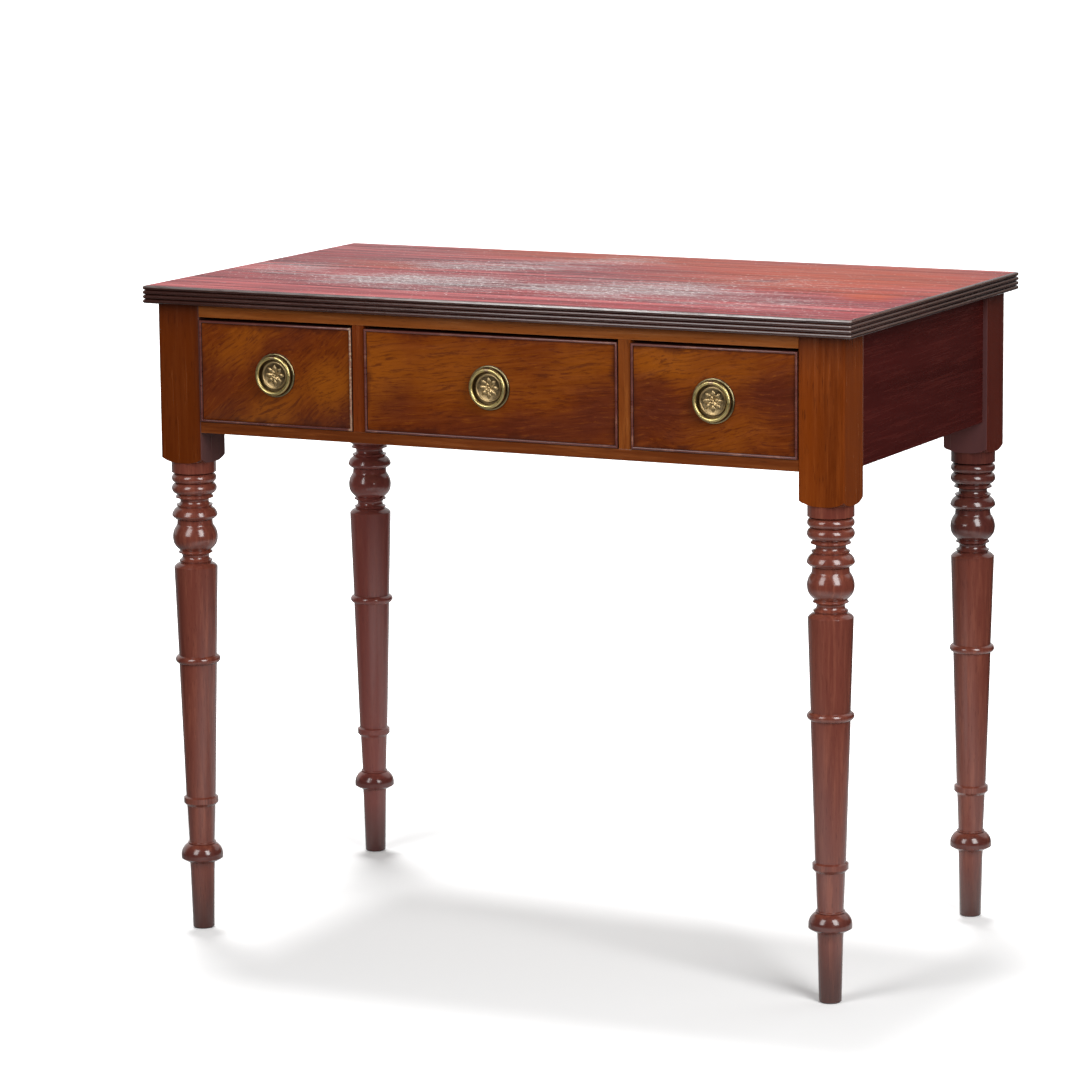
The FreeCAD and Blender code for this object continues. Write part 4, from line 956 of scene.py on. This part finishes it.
def shade_and_rub_bead(tree, colour):
    """Painted shade where it meets the front, pale along its nose (wear and painted highlight), chipped
    by the first divider.
    """
    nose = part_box("cock_bead_centre")[0].y
    place = object_place(tree)
    parts = parts_of(tree, place)
    # painted shade: dark where the bead meets the drawer front
    proud = ramp(tree, parts["Y"], nose + BEAD_PROUD, nose + 0.2 * MM)
    colour = tint(tree, proud, bead_shades["root"], colour)
    chipped_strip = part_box("cock_bead_left")[1].x - 1.5 * MM
    worst = ramp(tree, off(tree, parts["X"], chipped_strip), 4 * MM, 2 * MM, 0, 0.35)
    # pale along the proud part: partly wear, partly a painted highlight
    rubbed = maths(tree, "ADD", noise(tree, place, 46, 5, 0.7), worst)
    pale = maths(tree, "MULTIPLY", ramp(tree, rubbed, 0.52, 0.72, 0.0, 0.7), proud)
    colour = tint(tree, pale, colour, bead_shades["rubbed"])
    chips = maths(tree, "ADD", noise(tree, place, 300, 4, 0.8), worst)
    bare = maths(tree, "MULTIPLY", ramp(tree, chips, 0.78, 0.98, 0, 0.8), proud)
    return tint(tree, bare, colour, bead_shades["bare"])


bead_wood = mahogany("bead_mahogany", "x", (0.09, 0.02, 0.016), (0.12, 0.03, 0.022),
                     (0.17, 0.05, 0.036), 0.2, 0.4, (0.26, 0.42))
relay(bead_wood, shade_and_rub_bead)
print("beads:", bead_wood.name)

# %% Cock beads
BEAD_WIDTH = 3.0 * MM
NOSE_DEPTH = BEAD_WIDTH * 0.45


def bead_section(nose, back):
    """Inset and depth of points round the bead, from its outer back corner to its inner one."""
    outer = Vector((0, nose + NOSE_DEPTH))
    inner = Vector((BEAD_WIDTH, nose + NOSE_DEPTH))
    round_nose = arc(outer, Vector((BEAD_WIDTH / 2, nose)), inner)
    return [Vector((0, back)), outer, *round_nose, inner, Vector((BEAD_WIDTH, back))]


for name in DRAWERS:
    low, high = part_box(f"cock_bead_{name}")
    loops = []
    for inset, depth in bead_section(low.y, high.y):
        west, east, foot, head = low.x + inset, high.x - inset, low.z + inset, high.z - inset
        corners = ((west, foot), (east, foot), (east, head), (west, head))
        loops.append([Vector((x, depth, z)) for x, z in corners])
    shape = bmesh.new()
    mitre_together(shape, loops, closed=True)
    finish_piece(f"bead_{name}", shape, f"drawer_{name}", [bead_wood],
                 f"cock_bead_{name}")
print("beads", BEAD_WIDTH / MM, "mm wide")

# %% [markdown]
# ## Brass handles
# Each handle is a stamped plate, a post with a pierced knuckle, and a ring that swings on it. The
# plate and the ring are round, so both are spun. The medallion in the middle gets a rosette of
# leaves: one leaf, turned round the centre by a spin that copies instead of sweeping.

# %% Brass
TARNISH = (0.16, 0.2, 0.13)


def brass(name, raised, recess, low, high):
    """Aged brass, dark in its recesses at depth low along Y and rubbed bright at depth high."""
    material, tree, surface = shader(name)
    place = object_place(tree)
    patches = noise(tree, place, 420, 5, 0.65)
    uneven = maths(tree, "MULTIPLY_ADD", patches, 0.7, -0.35)
    rubbed = maths(tree, "ADD", ramp(tree, parts_of(tree, place)["Y"], low, high), uneven)
    colour = tint(tree, ramp(tree, rubbed, 0.15, 0.85), recess, raised)
    spots = noise(tree, place, 950, 3, 0.6)
    colour = tint(tree, ramp(tree, spots, 0.66, 0.74, 0, 0.35), colour, TARNISH)
    tree.links.new(colour, surface.inputs["Base Color"])
    tree.links.new(ramp(tree, patches, 0.3, 0.7, 0.26, 0.46), surface.inputs["Roughness"])
    bump = add(tree, "Bump", {"Height": patches, "Strength": 0.08, "Distance": 0.0003})
    tree.links.new(bump.outputs[0], surface.inputs["Normal"])
    surface.inputs["Metallic"].default_value = 1
    return material


face_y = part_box("drawer_front_centre")[0].y
brass_tones = (
    # raised and recessed colour, then the heights of recess and raised part over the front in mm
    ("plate_brass", (0.5, 0.36, 0.18), (0.22, 0.158, 0.08), 1.2, 3.3),
    ("ring_brass", (0.56, 0.45, 0.19), (0.38, 0.3, 0.125), 4, 7),
    ("post_brass", (0.4, 0.29, 0.17), (0.1, 0.07, 0.04), 4, 8),
    ("rim_brass", (0.34, 0.28, 0.15), (0.12, 0.09, 0.05), 0.6, 2.4),
)
plate_brass, ring_brass, post_brass, rim_brass = [
    brass(name, raised, recess, face_y - low * MM, face_y - high * MM)
    for name, raised, recess, low, high in brass_tones]
print("drawer fronts at", round(face_y / MM, 1), "mm")

# %% Leaf rosette
LEAF_COUNT = 8
leaf_rows = (
    # length, width, height and distance from the centre in millimetres, and the turn in shares of a leaf
    (8.4, 2.9, 1.0, 3.8, 0.0), (6.0, 1.9, 1.3, 1.2, 0.5),
)
BOSS_RADIUS = 1.7 * MM
BOSS_FLATNESS = 0.75


def make_leaf(shape, centre, length, width, height, reach):
    """One leaf that points away from the centre, as a flattened ball drawn to a point."""
    leaf = bmesh.ops.create_uvsphere(shape, u_segments=12, v_segments=8, radius=1)["verts"]
    for vert in leaf:
        along = (vert.co.z + 1) / 2
        narrow = (1 - along ** 3) * (0.45 + 0.55 * along)
        crease = 1 - 0.35 * math.exp(-(vert.co.x / 0.18) ** 2)
        lift = height * (vert.co.y * crease if vert.co.y < 0 else vert.co.y * 0.2)
        vert.co = centre + Vector((vert.co.x * width * narrow * 1.4, lift, reach + along * length))
    return leaf


def make_rosette(shape, ground):
    """Rows of leaves round a boss."""
    turn = math.tau / LEAF_COUNT
    for *sizes, turned in leaf_rows:
        leaf = make_leaf(shape, ground, *(size * MM for size in sizes))
        faces = list({face for vert in leaf for face in vert.link_faces})
        bmesh.ops.rotate(shape, verts=leaf, cent=ground, matrix=Matrix.Rotation(turn * turned, 3, "Y"))
        bmesh.ops.spin(shape, geom=leaf + faces, cent=ground, axis=(0, 1, 0), angle=math.tau - turn,
                       steps=LEAF_COUNT - 1, use_duplicate=True)
    boss = bmesh.ops.create_uvsphere(shape, u_segments=16, v_segments=10, radius=BOSS_RADIUS)["verts"]
    bmesh.ops.scale(shape, verts=boss, vec=(1, BOSS_FLATNESS, 1))
    bmesh.ops.translate(shape, verts=boss, vec=ground)


print(len(leaf_rows), "rows of", LEAF_COUNT, "leaves")

# %% Plates
PLATE_STEPS = 72
ROSETTE_GROUND = 2.1 * MM
RIM_RADIUS = 21.9
plate_section = (
    # radius and height over the drawer front, in millimetres, with the bulge of the run that ends there
    (24.5, 0.8, 0.0), (RIM_RADIUS, 1.0, 1.3), (15.5, 1.0, 0.0), (15.5, 2.4, 0.0),
    (13.7, 2.4, 0.9), (12.6, 1.9, 0.0), (6.0, 2.2, 0.0), (0.0, 2.3, 0.0),
)


def make_plate(name):
    """A stamped plate with its rosette."""
    low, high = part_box(f"handle_plate_{name}")
    centre = (low + high) / 2
    centre.y = high.y
    shape = bmesh.new()
    runs = [(Vector((radius * MM, height * MM)), bulge * MM) for radius, height, bulge in plate_section]
    points = profile([Vector((plate_section[0][0] * MM, 0))], runs, Vector((0, 1)))
    verts = [shape.verts.new(centre + Vector((point.x, -point.y, 0))) for point in points]
    edges = [shape.edges.new(pair) for pair in zip(verts, verts[1:])]
    bmesh.ops.spin(shape, geom=verts + edges, cent=centre, axis=(0, 1, 0), angle=math.tau,
                   steps=PLATE_STEPS, use_merge=True)
    bmesh.ops.remove_doubles(shape, verts=shape.verts, dist=0.001 * MM)
    bmesh.ops.edgeloop_fill(shape, edges=[edge for edge in shape.edges if edge.is_boundary])
    make_rosette(shape, centre - Vector((0, ROSETTE_GROUND, 0)))
    for face in shape.faces:
        middle = face.calc_center_median() - centre
        face.material_index = 1 if math.hypot(middle.x, middle.z) > RIM_RADIUS * MM else 0
    return finish_piece(f"plate_{name}", shape, f"drawer_{name}", [plate_brass, rim_brass],
                        f"handle_plate_{name}", sharp=35)


for name in DRAWERS:
    plate = make_plate(name)
print("each plate has", len(plate.data.polygons), "faces")

# %% Rings
RING_STEPS = 96
WIRE_STEPS = 20
RING_GAP = 5.6 * MM
PIN_RADIUS = 1.0 * MM
PIN_STEPS = 16
PIN_OFFSET = RING_GAP * 0.35


def make_ring(name):
    """A ring of round wire, cut through at its head and hung on two pins."""
    low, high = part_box(f"handle_ring_{name}")
    centre = (low + high) / 2
    wire = (high.y - low.y) / 2
    mean = (high.x - low.x) / 2 - wire
    centre.z = high.z - math.sqrt((mean + wire) ** 2 - (RING_GAP / 2) ** 2)
    half_gap = math.asin(RING_GAP / 2 / mean)
    lay_across = Matrix.Rotation(math.pi / 2, 3, "Y")
    shape = bmesh.new()
    section = bmesh.ops.create_circle(shape, segments=WIRE_STEPS, radius=wire, cap_ends=True)["verts"]
    bmesh.ops.rotate(shape, verts=section, cent=(0, 0, 0), matrix=lay_across)
    bmesh.ops.translate(shape, verts=section, vec=centre + Vector((0, 0, mean)))
    bmesh.ops.rotate(shape, verts=section, cent=centre, matrix=Matrix.Rotation(half_gap, 3, "Y"))
    faces = list({face for vert in section for face in vert.link_faces})
    bmesh.ops.spin(shape, geom=section + faces, cent=centre, axis=(0, 1, 0),
                   angle=math.tau - 2 * half_gap, steps=RING_STEPS)
    pivot = centre + Vector((0, 0, mean * math.cos(half_gap)))
    for sign in HANDS.values():
        pin = bmesh.ops.create_cone(shape, cap_ends=True, segments=PIN_STEPS, radius1=PIN_RADIUS,
                                    radius2=PIN_RADIUS, depth=RING_GAP / 2)["verts"]
        bmesh.ops.rotate(shape, verts=pin, cent=(0, 0, 0), matrix=lay_across)
        bmesh.ops.translate(shape, verts=pin, vec=pivot + Vector((sign * PIN_OFFSET, 0, 0)))
    return finish_piece(f"ring_pull_{name}", shape, f"ring_{name}", [ring_brass],
                        f"handle_ring_{name}")


for name in DRAWERS:
    ring = make_ring(name)
print("each ring has", len(ring.data.polygons), "faces")

# %% [markdown]
# ## Small metal
# The posts that carry the rings and the nuts behind the drawer fronts are brass too, darker than
# the rings because nobody rubs them. The screws that hold the top are old iron, hidden by the
# kickers, but a finish with a little rust costs only one small tree of nodes. All keep their shapes
# from the frame.

# %% Posts, nuts and screws
iron, tree, surface = shader("old_iron")
rust = noise(tree, object_place(tree), 500, 5, 0.65)
colour = tint(tree, ramp(tree, rust, 0.5, 0.7), (0.2, 0.19, 0.18), (0.13, 0.05, 0.02))
tree.links.new(colour, surface.inputs["Base Color"])
tree.links.new(ramp(tree, rust, 0.3, 0.7, 0.4, 0.8), surface.inputs["Roughness"])
surface.inputs["Metallic"].default_value = 0.8
refinish(frame["nodes"]["top_screws"], iron)
for name in DRAWERS:
    for kind in ("post", "nut"):
        refinish(frame["nodes"][f"handle_{kind}_{name}"], post_brass)
print("screws, posts and nuts finished")
